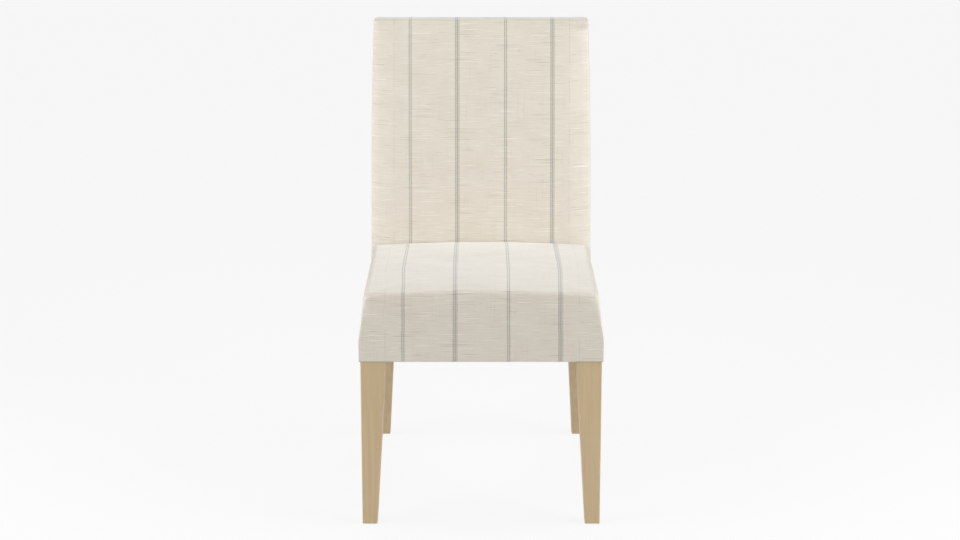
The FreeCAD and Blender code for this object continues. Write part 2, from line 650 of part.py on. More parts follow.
def rounded_wire(corners, place):
    """Closed wire through corners (u, v, radius). A corner with a radius becomes a tangent arc."""
    arcs = []
    for index, (u, v, radius) in enumerate(corners):
        here = place(u, v)
        if radius <= 0:
            arcs.append((here, None, here))
            continue
        back = (place(*corners[index - 1][:2]) - here).normalize()
        ahead = (place(*corners[(index + 1) % len(corners)][:2]) - here).normalize()
        half_angle = back.getAngle(ahead) / 2
        reach = radius / math.tan(half_angle)
        inwards = (back + ahead).normalize()
        middle = here + inwards * (radius / math.sin(half_angle) - radius)
        arcs.append((here + back * reach, middle, here + ahead * reach))
    edges = []
    for index, (start, middle, end) in enumerate(arcs):
        if middle is not None:
            edges.append(Part.Arc(start, middle, end).toShape())
        edges.append(Part.LineSegment(end, arcs[(index + 1) % len(arcs)][0]).toShape())
    return Part.Wire(edges)


# Faces of the upholstered forms
COVER_HALF = value(f"{HALF} + {SKIN}")
SEAT_FRONT = value(f"{LEG_FRONT} - {SKIN}")
BACK_FRONT = value(f"{WAIST_FRONT} - BackPad")
SEAT_REAR = BACK_FRONT - value("LayerGap")
BACK_REAR = value(f"{FRAME_BACK} + {SKIN}")
BACK_TOP = value("OverallHeight")
WAIST = value(WAIST_Z)
LEAN_SLOPE = math.tan(math.radians(value("LeanAngle")))
REAR_BEND = value(REAR_BEND_Z)
REAR_SLOPE = value(f"({POST_TOP_REAR} - {FRAME_BACK}) / ({POST_TOP_REAR_Z} - {REAR_BEND_Z})")
DECK_LEVEL = value(f"{RAIL_TOP} + {DECK_TOP}")
SMALLEST_ROUNDING = 1.2
SPARE_REACH = 1.05
PAST = 1  # how far a cutting block reaches past the face it cuts away


def bulge(part):
    """0 at both ends of a span and 1 in its middle, by a parabola."""
    return 4 * part * (1 - part)


def mix(start, end, part):
    return start + (end - start) * part


def arc_inset(radius, depth):
    """How far a quarter round lies inside its square corner, at a depth from one face."""
    left = max(radius - depth, 0)
    return radius - math.sqrt(radius ** 2 - left ** 2)


def rounded(radius):
    """The radius, or a sharp corner where next to nothing is left of it."""
    return radius if radius > SMALLEST_ROUNDING else 0


def steps(start, end, count):
    """Evenly spaced places after start, up to and with end."""
    return [mix(start, end, step / count) for step in range(1, count + 1)]


def seat_section(y, inset, edge, side_edge, bottom):
    """Upright cross-section of the seat, inset inside the cover's face.

    Near the front, edge lowers its top and side_edge draws in its sides, to round the front.
    """
    part = (y - SEAT_FRONT) / (SEAT_REAR - SEAT_FRONT)
    top = value(f"{RAIL_TOP} + SeatRise") + value("SeatCrown") * bulge(part) - inset - edge
    draw = mix(value("FrontSideDraw"), value("RearSideDraw"), part)
    low_half = COVER_HALF - inset - side_edge
    high_half = COVER_HALF - inset - (side_edge + edge) / 2 - draw
    bend = value(f"{RAIL_TOP} - SideDrawDrop")
    half_span = value("CrownSpan") / 2
    rise = value("CrossCrown") / (1 - half_span / (2 * high_half))
    shoulder_z = top - value("CrossCrown")
    shoulder = mix(value("FrontShoulder"), value("RearShoulder"), part) - inset - edge / 2
    if bottom < bend:
        right = [(low_half, bottom, 0), (low_half, bend, value("SideBend"))]
    else:
        right = [(mix(low_half, high_half, (bottom - bend) / (shoulder_z - bend)), bottom, 0)]
    right.append((high_half, shoulder_z, shoulder))
    apex = [(0, shoulder_z + rise, half_span * high_half / rise)]
    left = [(-u, v, radius) for u, v, radius in reversed(right)]
    return rounded_wire(right + apex + left, lambda u, v: Vector(u, y, v))


def seat_form(inset, bottom):
    """The seat as a solid whose faces lie inset inside the cover's outer faces."""
    front = SEAT_FRONT + inset
    rear = SEAT_REAR - inset
    nose = value("NoseRadius") - inset
    corner = max(value("CornerRadius") - inset, 0)
    stations = []
    for turn in (0, 30, 60, 90):
        depth = nose * (1 - math.cos(math.radians(turn)))
        stations.append((front + depth, arc_inset(nose, depth), arc_inset(corner, depth)))
    stations += [(y, 0, 0) for y in steps(front + nose, rear, 5)]
    wires = [seat_section(y, inset, edge, side, bottom) for y, edge, side in stations]
    return Part.makeLoft(wires, True, True)


def back_section(z, inset, edge):
    """Level cross-section of the back, with its wide front corners."""
    inward = inset + edge
    climb = max(z - WAIST, 0)
    part = climb / (BACK_TOP - WAIST)
    half = COVER_HALF - value("BackDraw") * part ** 3 - inward
    crown = value("BackCrown")
    front = BACK_FRONT + climb * LEAN_SLOPE - crown * bulge(part) + inward
    rear = BACK_REAR + max(z - REAR_BEND, 0) * REAR_SLOPE - inward
    turn = math.radians(value("BackEdgeTurn"))
    front_radius = value("BackFrontRadius") - inward
    side_radius = value("BackSideRadius") - inward
    reach = front_radius * math.tan(turn / 2) + side_radius * math.tan(math.pi / 4 - turn / 2)
    reach *= SPARE_REACH
    side_front = front + crown
    right = [
        (half - reach * math.cos(turn), side_front, front_radius),
        (half, side_front + reach * math.sin(turn), side_radius),
        (half, rear, rounded(value("BackRearRadius") - inset)),
    ]
    left = [(-u, v, radius) for u, v, radius in reversed(right)]
    middle = [(0, front, value("CrownSpan") / 2 * half / crown)]
    return rounded_wire(middle + right + left, lambda u, v: Vector(u, v, z))


def lower_side(inset, bottom):
    """The back below its soft corners: a block whose top slopes up from the seat to die in them."""
    front = BACK_FRONT + inset
    rear = BACK_REAR - inset
    low = WAIST - value("BackTuck") - inset
    slope_end = front + value("CornerFade")
    outline = [
        (front, bottom),
        (rear, bottom),
        (rear, low),
        (slope_end, low + value("BackTuck")),
        (front, low),
    ]
    half = COVER_HALF - inset
    points = [Vector(-half, y, z) for y, z in outline]
    return Part.Face(Part.makePolygon(points + points[:1])).extrude(Vector(2 * half, 0, 0))


def back_form(inset, bottom):
    """The back as a solid whose faces lie inset inside the cover's outer faces."""
    tuck = WAIST - value("BackTuck")
    top = BACK_TOP - inset
    edge_radius = value("BackTopRadius") - inset
    stations = [(max(bottom, tuck - inset), 0), (WAIST, 0)]
    stations += [(z, 0) for z in steps(WAIST, top - edge_radius, 5)]
    for turn in (30, 60, 90):
        angle = math.radians(turn)
        rise = edge_radius * math.sin(angle)
        stations.append((top - edge_radius + rise, edge_radius * (1 - math.cos(angle))))
    soft = Part.makeLoft([back_section(z, inset, edge) for z, edge in stations], True, True)
    return soft if bottom >= tuck else soft.fuse(lower_side(inset, bottom))


def block_between(low, high):
    size = high - low
    return Part.makeBox(size.x, size.y, size.z, low)


def leg_notches():
    """Space of the four legs where the covers' turned hems are cut to let them through."""
    gap = value("LayerGap")
    side = value("LegTop") + 2 * gap
    low = value(HEM_Z) - PAST
    height = value("RailBottom") - low
    notches = []
    for way in SIDES:
        x = value(HALF) + gap - side if way > 0 else -value(HALF) - gap
        for y in (value(LEG_FRONT) - gap, value(POST_FRONT) - gap):
            notches.append(Part.makeBox(side, side, height, Vector(x, y, low)))
    return notches


def hem_window():
    """The space inside the covers' turned hems, under the frame."""
    inner = value(f"{HALF} - CoverTurn")
    front = value(f"{LEG_FRONT} + CoverTurn")
    rear = value(f"{FRAME_BACK} + 2 * {SKIN}")
    low = Vector(-inner, front, value(HEM_Z) - PAST)
    return block_between(low, Vector(inner, rear, value("RailBottom")))


def wide_block(y_low, y_high, z_low, z_high):
    """A block across the whole inner width of the covers."""
    half = value(f"{HALF} + LayerGap")
    return block_between(Vector(-half, y_low, z_low), Vector(half, y_high, z_high))


def behind_posts_front(start, top):
    """The space behind the plane of the posts' front faces, from a distance behind it."""
    size = value("OverallHeight")
    block = block_between(Vector(-size, start, -size), Vector(size, size, top))
    block.Placement = LEAN_PLACE
    return block


def waist_front(gap):
    """The space behind the front faces of the posts below the waist, and a gap before them."""
    far = value(FRAME_BACK)
    outline = [
        (value(POST_FRONT) - gap, value(HEM_Z)),
        (value(POST_FRONT) - gap, value(WAIST_LOW_Z)),
        (value(WAIST_FRONT) - gap, WAIST),
        (far, WAIST),
        (far, value(HEM_Z)),
    ]
    half = value("FrameWidth")
    points = [Vector(-half, y, z) for y, z in outline]
    return Part.Face(Part.makePolygon(points + points[:1])).extrude(Vector(2 * half, 0, 0))


def seat_cover():
    cover = seat_form(0, value(HEM_Z))
    cover = cover.cut(seat_form(value("CoverThick"), value("RailBottom - LayerGap")))
    tail_top = DECK_LEVEL + value("LayerGap")
    tail_front = SEAT_REAR - 2 * value("CoverThick")
    tail = wide_block(tail_front, SEAT_REAR + PAST, value(HEM_Z) - PAST, tail_top)
    cover = cover.cut([tail, hem_window()] + leg_notches())
    return solids_node("seat_cover", cover.Solids)


def seat_wadding():
    inset = value(SKIN)
    thick = value("WaddingThick")
    low = value(RAIL_TOP)
    wadding = seat_form(inset, low).cut(seat_form(inset + thick, low - PAST))
    rear = SEAT_REAR - inset
    tail = wide_block(rear - 2 * thick, rear + PAST, low - PAST, DECK_LEVEL + value("LayerGap"))
    return solids_node("seat_wadding", wadding.cut(tail).Solids)


def seat_foam():
    inset = value(f"{SKIN} + WaddingThick + LayerGap")
    return solids_node("seat_foam", seat_form(inset, DECK_LEVEL).Solids)


def back_cover():
    cover = back_form(0, value(HEM_Z))
    cover = cover.cut(back_form(value("CoverThick"), value("RailBottom - LayerGap")))
    tuck = WAIST - value("BackTuck")
    skin = 2 * value("CoverThick")
    lower_front = wide_block(BACK_FRONT - skin, BACK_FRONT + skin, value(HEM_Z) - PAST, tuck)
    turn = value("CoverTurn")
    half = value(f"{HALF} - CoverTurn - BackDraw")
    size = value("OverallHeight")
    low = Vector(-half, value("PostTopThick / 2"), -size)
    rear_opening = block_between(low, Vector(half, size, value(LEAN_LENGTH) - turn))
    rear_opening.Placement = LEAN_PLACE
    cover = cover.cut([lower_front, hem_window(), rear_opening] + leg_notches())
    return solids_node("back_cover", cover.Solids)


def back_wadding():
    inset = value(SKIN)
    tuck = WAIST - value("BackTuck")
    gap = value("LayerGap")
    everywhere = value("OverallHeight")
    foam_space = back_form(inset + value("WaddingThick"), tuck)
    foam_space = foam_space.cut(behind_posts_front(-gap, everywhere))
    behind = [behind_posts_front(-gap, value(LEAN_LENGTH) + gap), waist_front(gap)]
    wadding = back_form(inset, tuck).cut([foam_space] + behind)
    return solids_node("back_wadding", wadding.Solids)


def back_foam():
    inset = value(f"{SKIN} + WaddingThick + LayerGap")
    foam = back_form(inset, WAIST - value("BackTuck"))
    behind = behind_posts_front(-value(f"{DECK_TOP} + LayerGap"), value("OverallHeight"))
    return solids_node("back_foam", foam.cut(behind).Solids)


# Rear panels

def rear_sheet(label, behind, inset, low, high):
    """A sheet that follows the rear of the posts: upright at the rails, then leaning."""
    sheet_piece = Piece(label)
    slope = f"(({POST_TOP_REAR} - {FRAME_BACK}) / ({POST_TOP_REAR_Z} - {REAR_BEND_Z}))"
    near = f"({FRAME_BACK} + {behind})"
    far = f"({near} + CoverThick)"
    top_shift = f"(({high}) - {REAR_BEND_Z}) * {slope}"
    profile = [
        (near, low),
        (far, low),
        (far, REAR_BEND_Z),
        (f"{far} + {top_shift}", high),
        (f"{near} + {top_shift}", high),
        (near, REAR_BEND_Z),
    ]
    half = f"({HALF} + {SKIN} - {inset})"
    sheet_piece.pad("side_profile", "X", f"-{half}", profile, f"2 * {half}")
    sheet_piece.dress("Fillet", "bend", "BendRadius", is_rear_bend)
    tapers = []
    for side in ("", "-"):
        tapers.append([
            (f"{side}{half}", WAIST_Z),
            (f"{side}{half}", high),
            (f"{side}({half} - BackDraw)", high),
        ])
    sheet_piece.cut("tapers", "Y", "0", tapers, "(FrameDepth + RearRake)", 1)
    return sheet_piece.body


def outside_back_lining():
    """Board inside the turned edges of the back cover."""
    inset = f"(CoverTurn + BackDraw + {SKIN} + SheetMargin)"
    top = lean_height(f"{LEAN_LENGTH} - CoverTurn - 2 * SheetMargin", "PostTopThick")
    return rear_sheet("outside_back_lining", "LayerGap", inset, HEM_Z, top)


def outside_back_panel():
    """Covered panel over the turned edges."""
    top = "(OverallHeight - BackTopRadius)"
    return rear_sheet("outside_back_panel", f"({SKIN} + LayerGap)", "PanelInset", HEM_Z, top)


def dust_cover():
    cover = Piece("dust_cover")
    side = f"({HALF} - DustInset)"
    notch = f"({INNER} - SheetMargin)"
    front = f"({LEG_FRONT} + DustInset)"
    front_notch = f"({LEG_REAR} + SheetMargin)"
    rear = f"({FRAME_BACK} - DustInset)"
    rear_notch = f"({POST_FRONT} - SheetMargin)"
    outline = [
        (notch, front),
        (notch, front_notch),
        (side, front_notch),
        (side, rear_notch),
        (notch, rear_notch),
        (notch, rear),
    ]
    outline += [(f"-{x}", y) for x, y in reversed(outline)]
    cover.pad("sheet", "Z", HEM_Z, outline, "DustThick", -1)
    return cover.body


# Build

mirrored_copy("front_leg_left", front_leg())
mirrored_copy("back_post_left", back_post())
long_rail("front_rail", LEG_FRONT, 1)
long_rail("rear_rail", FRAME_BACK, -1)
mirrored_copy("side_rail_left", side_rail())
back_rail("lower_back_rail", "LowerRailRise", "LowerRailHeight")
back_rail("crest_rail", CREST_LOW, "CrestHeight")

mirrored_copy("corner_block_front_left", front_corner_block())
mirrored_copy("corner_block_rear_left", rear_corner_block())
solids_node("leg_hanger_bolts", on_bolts(hanger_bolt))
solids_node("leg_bolt_washers", on_bolts(washer))
solids_node("leg_bolt_nuts", on_bolts(nut))
foot_glides()

seat_webbing()
seat_deck_cloth()
back_webbing()
back_lining_cloth()

seat_foam()
seat_wadding()
seat_cover()
back_foam()
back_wadding()
back_cover()
outside_back_lining()
outside_back_panel()
dust_cover()
doc.recompute()

sub_parts = [item for item in doc.Objects if item.TypeId in SUB_PART_TYPES]
failed = [item.Name for item in doc.Objects if {"Invalid", "Error"} & set(item.State)]
for item in sub_parts:
    if item.Shape.isNull() or not item.Shape.isValid() or not item.Shape.Solids:
        failed.append(item.Label)
if failed:
    raise RuntimeError(f"these pieces failed: {sorted(set(failed))}")

os.makedirs("parts", exist_ok=True)
for item in sub_parts:
    item.Shape.exportStep(f"parts/{item.Label}.step")
print(f"{len(sub_parts)} sub-parts written")
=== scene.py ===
import contextlib
import json
import math

import bmesh
import bpy
import numpy as np
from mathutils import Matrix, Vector, noise


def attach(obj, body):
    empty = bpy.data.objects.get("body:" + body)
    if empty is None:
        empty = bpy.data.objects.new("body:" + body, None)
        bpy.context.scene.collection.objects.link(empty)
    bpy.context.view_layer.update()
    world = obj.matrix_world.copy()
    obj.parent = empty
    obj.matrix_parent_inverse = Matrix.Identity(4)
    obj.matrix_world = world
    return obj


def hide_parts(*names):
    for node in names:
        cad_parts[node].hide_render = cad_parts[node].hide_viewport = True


# Dining chair with wooden legs and striped linen upholstery on seat and back.
# Lengths are millimetres until a mesh is made. X runs to the right, Y to the rear, Z up.
# A pair of places that smooth() is given is where something starts and where it is full.

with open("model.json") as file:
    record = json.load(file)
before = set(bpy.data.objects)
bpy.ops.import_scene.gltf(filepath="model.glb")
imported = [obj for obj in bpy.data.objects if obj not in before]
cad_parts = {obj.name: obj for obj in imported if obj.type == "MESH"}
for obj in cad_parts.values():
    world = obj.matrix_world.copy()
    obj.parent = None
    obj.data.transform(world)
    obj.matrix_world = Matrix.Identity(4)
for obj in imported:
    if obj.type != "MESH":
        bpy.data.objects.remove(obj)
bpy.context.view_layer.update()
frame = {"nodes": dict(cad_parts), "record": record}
nodes = frame["nodes"]

MM = 0.001

# Places that the upholstery shares with the frame. INNER is the inner face of the legs.
HALF = 240.0
INNER = 189.0
LEG_FRONT, LEG_REAR = -301.15, -250.15
POST_FRONT, FRAME_BACK = 177.85, 228.85
HEM = 343.3
RAIL_TOP = 415.0
DECK_LEVEL = 420.2

# Covers: how far they stand off the frame, their cloth, and the width that is turned under
SKIN = 1.7
COVER_THICK = 1.4
COVER_TURN = 18.0
COVER_HALF = HALF + SKIN

# Stuffing: how far its layers lie inside the cover, and how thick the wadding is
WADDING_IN, WADDING_THICK = 2.1, 3.6
FOAM_IN = 6.2

# Seat: its top is crowned both ways, drawn in from the sides and turned down over shoulders and nose
SEAT_FRONT = LEG_FRONT - SKIN
SEAT_REAR = 150.55
SEAT_TOP = 486.5
FRONT_LIFT, REAR_LIFT = 2.5, -2.5
SEAT_CROWN = 7.0
CROSS_CROWN = 6.0
CROWN_SPAN = 300.0
FRONT_SHOULDER, REAR_SHOULDER = 17.0, 13.0
NOSE_RADIUS = 8.0
CORNER_RADIUS = 1.5
FRONT_DRAW, REAR_DRAW = 9.0, 3.0
SIDE_BEND_Z = 385.0
SIDE_BEND = 200.0

# Back: upright below the waist and leaning above it, with a tuck that the seat hides.
# Each bend of its front corners is (in from the edge, to the rear, radius).
BACK_FRONT = 150.85
BACK_REAR = FRAME_BACK + SKIN
BACK_TOP = 961.0
WAIST = 480.0
TUCK_LEVEL = WAIST - 30.0
REAR_BEND = 450.0
REAR_SLOPE = 0.134822
LEAN = math.radians(10)
LEAN_SLOPE = math.tan(LEAN)
BACK_CROWN = 3.0
BACK_EDGE = ((45.0, 0.0, 30.0), (15.0, 10.5, 34.0), (0.0, 22.0, 15.0))
BACK_REAR_RADIUS = 2.5
BACK_TOP_RADIUS = 6.5
BACK_DRAW = 6.5
POSTS_BEHIND = 32.0

# Outside back, so far inside the cover's sides and top
PANEL_HALF = COVER_HALF - 5
PANEL_TOP = BACK_TOP - 8


def put(name, data):
    """A new object with this data, in the scene."""
    obj = bpy.data.objects.new(name, data)
    bpy.context.scene.collection.objects.link(obj)
    return obj


@contextlib.contextmanager
def editing(mesh):
    """The mesh opened for work on its faces, and written back at the end."""
    work = bmesh.new()
    work.from_mesh(mesh)
    yield work
    work.to_mesh(mesh)
    work.free()


# Outlines of lines and tangent arcs

ARC_STEPS = 14


def corner_arc(before, here, after, radius):
    """Points of the arc that rounds a corner, or the corner itself where there is no radius."""
    here = np.array(here, float)
    if radius <= 0:
        return here[None]
    back = np.array(before, float) - here
    ahead = np.array(after, float) - here
    back /= np.linalg.norm(back)
    ahead /= np.linalg.norm(ahead)
    half_angle = math.acos(np.clip(back @ ahead, -1, 1)) / 2
    turn = math.pi - 2 * half_angle
    inwards = (back + ahead) / np.linalg.norm(back + ahead)
    centre = here + inwards * radius / math.sin(half_angle)
    reach = radius / math.tan(half_angle)
    first = here + back * reach - centre
    last = here + ahead * reach - centre
    part = np.linspace(0, 1, ARC_STEPS + 1)[:, None]
    swing = np.sin((1 - part) * turn) * first + np.sin(part * turn) * last
    return centre + swing / math.sin(turn)


def arcs_of(corners, closed):
    """The arc of each corner (u, v, radius) of a path."""
    made = []
    last = len(corners) - 1
    for index, (u, v, radius) in enumerate(corners):
        before = corners[index - 1][:2] if closed or index else (u, v)
        after = corners[(index + 1) % len(corners)][:2] if closed or index < last else (u, v)
        made.append(corner_arc(before, (u, v), after, radius))
    return made


def path_lengths(points):
    """The length of a path up to each of its points."""
    steps = np.linalg.norm(np.diff(points, axis=0), axis=1)
    return np.concatenate([[0], np.cumsum(steps)])


def resample(points, count):
    """count even steps along a path, and the length at each."""
    points = np.concatenate(points) if isinstance(points, list) else points
    length = path_lengths(points)
    at = np.linspace(0, length[-1], count + 1)
    return np.stack([np.interp(at, length, points[:, k]) for k in range(points.shape[1])], 1), at


def bulge(part):
    """0 at both ends and 1 in the middle."""
    return 4 * part * (1 - part)


def mix(start, end, part):
    return start + (end - start) * part


def smooth(low, high, x):
    """0 below low, 1 above high and a smooth step in between. High may be the lower one."""
    part = np.clip((x - low) / (high - low), 0, 1)
    return part * part * (3 - 2 * part)


def coons(bottom, top, left, right):
    """A grid of points between four edges. Rows climb from bottom to top."""
    across = np.linspace(0, 1, len(bottom))[None, :, None]
    up = np.linspace(0, 1, len(left))[:, None, None]
    sides = (1 - up) * bottom[None] + up * top[None]
    sides = sides + (1 - across) * left[:, None] + across * right[:, None]
    corners = (1 - across) * (1 - up) * bottom[0] + across * (1 - up) * bottom[-1]
    corners = corners + (1 - across) * up * top[0] + across * up * top[-1]
    return sides - corners


def quads_of(index):
    """The quads between the points of a numbered grid."""
    corners = [index[:-1, :-1], index[:-1, 1:], index[1:, 1:], index[1:, :-1]]
    return np.stack(corners, -1).reshape(-1, 4)


WELD = 0.04


class Form:
    """A closed surface sewn together from grids of points, each point with fabric coordinates."""

    def __init__(self, name):
        self.name = name
        self.points = []
        self.fabric = []
        self.quads = []
        self.labels = []
        self.count = 0

    def panel(self, label, grid, fabric):
        rows, columns = grid.shape[:2]
        index = self.count + np.arange(rows * columns).reshape(rows, columns)
        self.quads.append(quads_of(index))
        self.labels.append(np.full((rows - 1) * (columns - 1), label))
        self.points.append(grid.reshape(-1, 3))
        self.fabric.append(fabric.reshape(-1, 2))
        self.count += rows * columns

    def build(self):
        points = np.concatenate(self.points) * MM
        fabric = np.concatenate(self.fabric) * MM
        quads = np.concatenate(self.quads)
        mesh = bpy.data.meshes.new(self.name)
        mesh.from_pydata(points.tolist(), [], quads.tolist())
        layer = mesh.uv_layers.new(name="fabric")
        layer.data.foreach_set("uv", fabric[quads.reshape(-1)].reshape(-1))
        label = mesh.attributes.new("panel", "INT", "FACE")
        label.data.foreach_set("value", np.concatenate(self.labels).astype(np.int32))
        with editing(mesh) as work:
            bmesh.ops.remove_doubles(work, verts=work.verts, dist=WELD * MM)
            bmesh.ops.recalc_face_normals(work, faces=work.faces)
        for face in mesh.polygons:
            face.use_smooth = True
        return put(self.name, mesh)


def coordinates(mesh, kind="vertices", field="co"):
    items = getattr(mesh, kind)
    values = np.empty(len(items) * 3, np.float32)
    items.foreach_get(field, values)
    return values.reshape(-1, 3).astype(float)


def place_vertices(mesh, points):
    mesh.vertices.foreach_set("co", points.astype(np.float32).reshape(-1))
    mesh.update()


def panels_of(mesh):
    labels = np.empty(len(mesh.polygons), np.int32)
    mesh.attributes["panel"].data.foreach_get("value", labels)
    return labels


def delete_faces(obj, doomed):
    """Deletes the faces that the mask names, and what only they used."""
    with editing(obj.data) as work:
        work.faces.ensure_lookup_table()
        faces = [work.faces[int(index)] for index in np.flatnonzero(doomed)]
        bmesh.ops.delete(work, geom=faces, context="FACES")


# Seat form

TOP, FRONT, LEFT, RIGHT, REAR, UNDER = range(6)

# The fabric is stretched across the seat by this share, behind its front
SEAT_SPREAD = 0.033
SPREAD_Y = (SEAT_FRONT, SEAT_FRONT + 190)

# The front's upper corners fall back by CORNER_SOFT, its upper edge by FRONT_ROLL
CORNER_SOFT, CORNER_SOFT_REACH, CORNER_SOFT_Z, CORNER_SOFT_TALL = 9.0, 24.0, 466.0, 1.7
FRONT_ROLL, FRONT_ROLL_Z = 2.5, 440.0
FALL_Y = (SEAT_FRONT + 60, SEAT_FRONT + 5)

# The front's lower corners stand out a little over the legs
CORNER_FLARE = 1.6
FLARE_Z, FLARE_Y = (425.0, 385.0), (SEAT_FRONT + 90, SEAT_FRONT + 10)

SEAT_COLUMNS, SEAT_ROWS, SIDE_ROWS = 88, 74, 19
NOSE_TURNS = (0, 15, 30, 45, 60, 75, 90)


def arc_inset(radius, depth):
    """How far a rounded edge lies inside its square corner at this depth."""
    left = max(radius - depth, 0)
    return radius - math.sqrt(max(radius ** 2 - left ** 2, 0))


def seat_outline(y, inset, edge, side_edge, bottom):
    """Left side, top and right side of the seat's cross-section, sides from the bottom up."""
    part = (y - SEAT_FRONT) / (SEAT_REAR - SEAT_FRONT)
    lift = mix(FRONT_LIFT, REAR_LIFT, part) + SEAT_CROWN * bulge(part)
    top = SEAT_TOP + lift - inset - edge
    draw = mix(FRONT_DRAW, REAR_DRAW, part ** 6)
    low_half = COVER_HALF - inset - side_edge
    high_half = COVER_HALF - inset - (side_edge + edge) / 2 - draw
    half_span = CROWN_SPAN / 2
    rise = CROSS_CROWN / (1 - half_span / (2 * high_half))
    shoulder_z = top - CROSS_CROWN
    shoulder = mix(FRONT_SHOULDER, REAR_SHOULDER, part) - inset - edge / 2
    if bottom < SIDE_BEND_Z:
        right = [(low_half, bottom, 0), (low_half, SIDE_BEND_Z, SIDE_BEND)]
    else:
        low = mix(low_half, high_half, (bottom - SIDE_BEND_Z) / (shoulder_z - SIDE_BEND_Z))
        right = [(low, bottom, 0)]
    right.append((high_half, shoulder_z, shoulder))
    left = [(-u, v, radius) for u, v, radius in right]
    apex = [(0, shoulder_z + rise, half_span * high_half / rise)]
    arcs = arcs_of(left + apex + right[::-1], False)
    shoulder_at = len(left) - 1
    left_side = arcs[:shoulder_at] + [arcs[shoulder_at][:1]]
    right_side = [arcs[-shoulder_at - 1][-1:]] + arcs[len(arcs) - shoulder_at:]
    return left_side, arcs[shoulder_at:len(arcs) - shoulder_at], right_side


def upright(points, y):
    return np.stack([points[:, 0], np.full(len(points), y), points[:, 1]], 1)


def seat_surface(name, inset, bottom, fabric_shift=0.0):
    """The seat's form, so far inside its cover, down to the bottom."""
    front = SEAT_FRONT + inset
    rear = SEAT_REAR - inset
    nose = NOSE_RADIUS - inset
    corner = max(CORNER_RADIUS - inset, 0)
    stations = []
    for turn in NOSE_TURNS:
        depth = nose * (1 - math.cos(math.radians(turn)))
        stations.append((front + depth, arc_inset(nose, depth), arc_inset(corner, depth)))
    stations += [(y, 0, 0) for y in np.linspace(front + nose, rear, SEAT_ROWS + 1)[1:]]
    rows = {LEFT: [], TOP: [], RIGHT: []}
    across = {LEFT: [], TOP: [], RIGHT: []}
    for y, edge, side_edge in stations:
        left, top, right = seat_outline(y, inset, edge, side_edge, bottom)
        top_points, top_length = resample(top, SEAT_COLUMNS)
        left_points, left_length = resample(left, SIDE_ROWS)
        right_points, right_length = resample(right, SIDE_ROWS)
        half_length = top_length[-1] / 2
        for key, points, along in (
            (TOP, top_points, top_length - half_length),
            (LEFT, left_points, left_length - left_length[-1] - half_length),
            (RIGHT, right_points[::-1], half_length + right_length[::-1]),
        ):
            rows[key].append(upright(points, y))
            across[key].append(along)
    grids = {key: np.array(value) for key, value in rows.items()}
    middle = grids[TOP][:, SEAT_COLUMNS // 2]
    lift = middle[0, 2] - bottom
    path = lift + path_lengths(middle)
    depth = np.array([y for y, _, _ in stations])
    spread = 1 - SEAT_SPREAD * smooth(*SPREAD_Y, depth)[:, None]
    form = Form(name)
    for key in (TOP, LEFT, RIGHT):
        u = np.array(across[key]) * spread - fabric_shift
        fabric = np.stack([u, np.broadcast_to(path[:, None], u.shape)], -1)
        form.panel(key, grids[key], fabric)
    for key, row in ((FRONT, 0), (REAR, -1)):
        left, right, top = grids[LEFT][row], grids[RIGHT][row], grids[TOP][row]
        base = np.linspace(left[0], right[0], SEAT_COLUMNS + 1)
        face = coons(base, top, left, right)
        fabric = np.stack([face[..., 0] - fabric_shift, face[..., 2] - bottom], -1)
        form.panel(key, face, fabric)
    part = np.linspace(0, 1, SEAT_COLUMNS + 1)[None, :, None]
    low_left, low_right = grids[LEFT][:, 0], grids[RIGHT][:, 0]
    under = (1 - part) * low_left[:, None] + part * low_right[:, None]
    form.panel(UNDER, under, under[..., :2])
    made = form.build()
    soften_front(made.data)
    return made


def soften_front(mesh):
    """Lets the front's upper edge and corners fall back, where the fabric is folded round the foam."""
    points = coordinates(mesh) / MM
    x, y, z = points.T
    away = np.hypot(HALF - np.abs(x), np.clip(CORNER_SOFT_Z - z, 0, None) / CORNER_SOFT_TALL)
    fall = CORNER_SOFT * np.clip(1 - away / CORNER_SOFT_REACH, 0, 1) ** 2
    fall += FRONT_ROLL * np.clip((z - FRONT_ROLL_Z) / (SEAT_TOP - FRONT_ROLL_Z), 0, 1) ** 2
    y += fall * smooth(*FALL_Y, y)
    place_vertices(mesh, points * MM)


# Back form

BACK_COLUMNS, DEPTH_COLUMNS, BACK_ROWS = 96, 13, 104
TOP_TURNS = (18, 36, 54, 72, 90)

# The soft corners grow blunt near the top: (height where bluntest, height where that starts, what is left)
BLUNT_LEFT, BLUNT_RIGHT = (964.0, 928.0, 0.45), (951.0, 939.0, 0.22)
TUCKED = 0.03
LEAST_RADIUS = 1.0


def opened(z):
    """1 above the waist, and nearly 0 at the bottom of the tuck."""
    return mix(TUCKED, 1, smooth(TUCK_LEVEL, WAIST, z))


def softness(z, blunt):
    """How wide the back's soft front corners are: full, but closed at the tuck and blunt at the top."""
    bluntest, start, least = blunt
    return opened(z) * mix(1, least, smooth(start, bluntest, z))


def back_side(sign, z, half, rear, side_front, inward, inset, blunt):
    """Corners from one side's soft edge, which bends three times, to its rear."""
    soft = softness(z, blunt)
    corners = [
        (
            sign * (half - soft * wide),
            side_front + soft * deep,
            max(soft * radius - inward, LEAST_RADIUS),
        )
        for wide, deep, radius in BACK_EDGE
    ]
    return corners + [(sign * half, rear, max(BACK_REAR_RADIUS - inset, 0))]


def rear_line(z):
    """How far the posts' rear faces have leaned back at this height."""
    return np.maximum(z - REAR_BEND, 0) * REAR_SLOPE


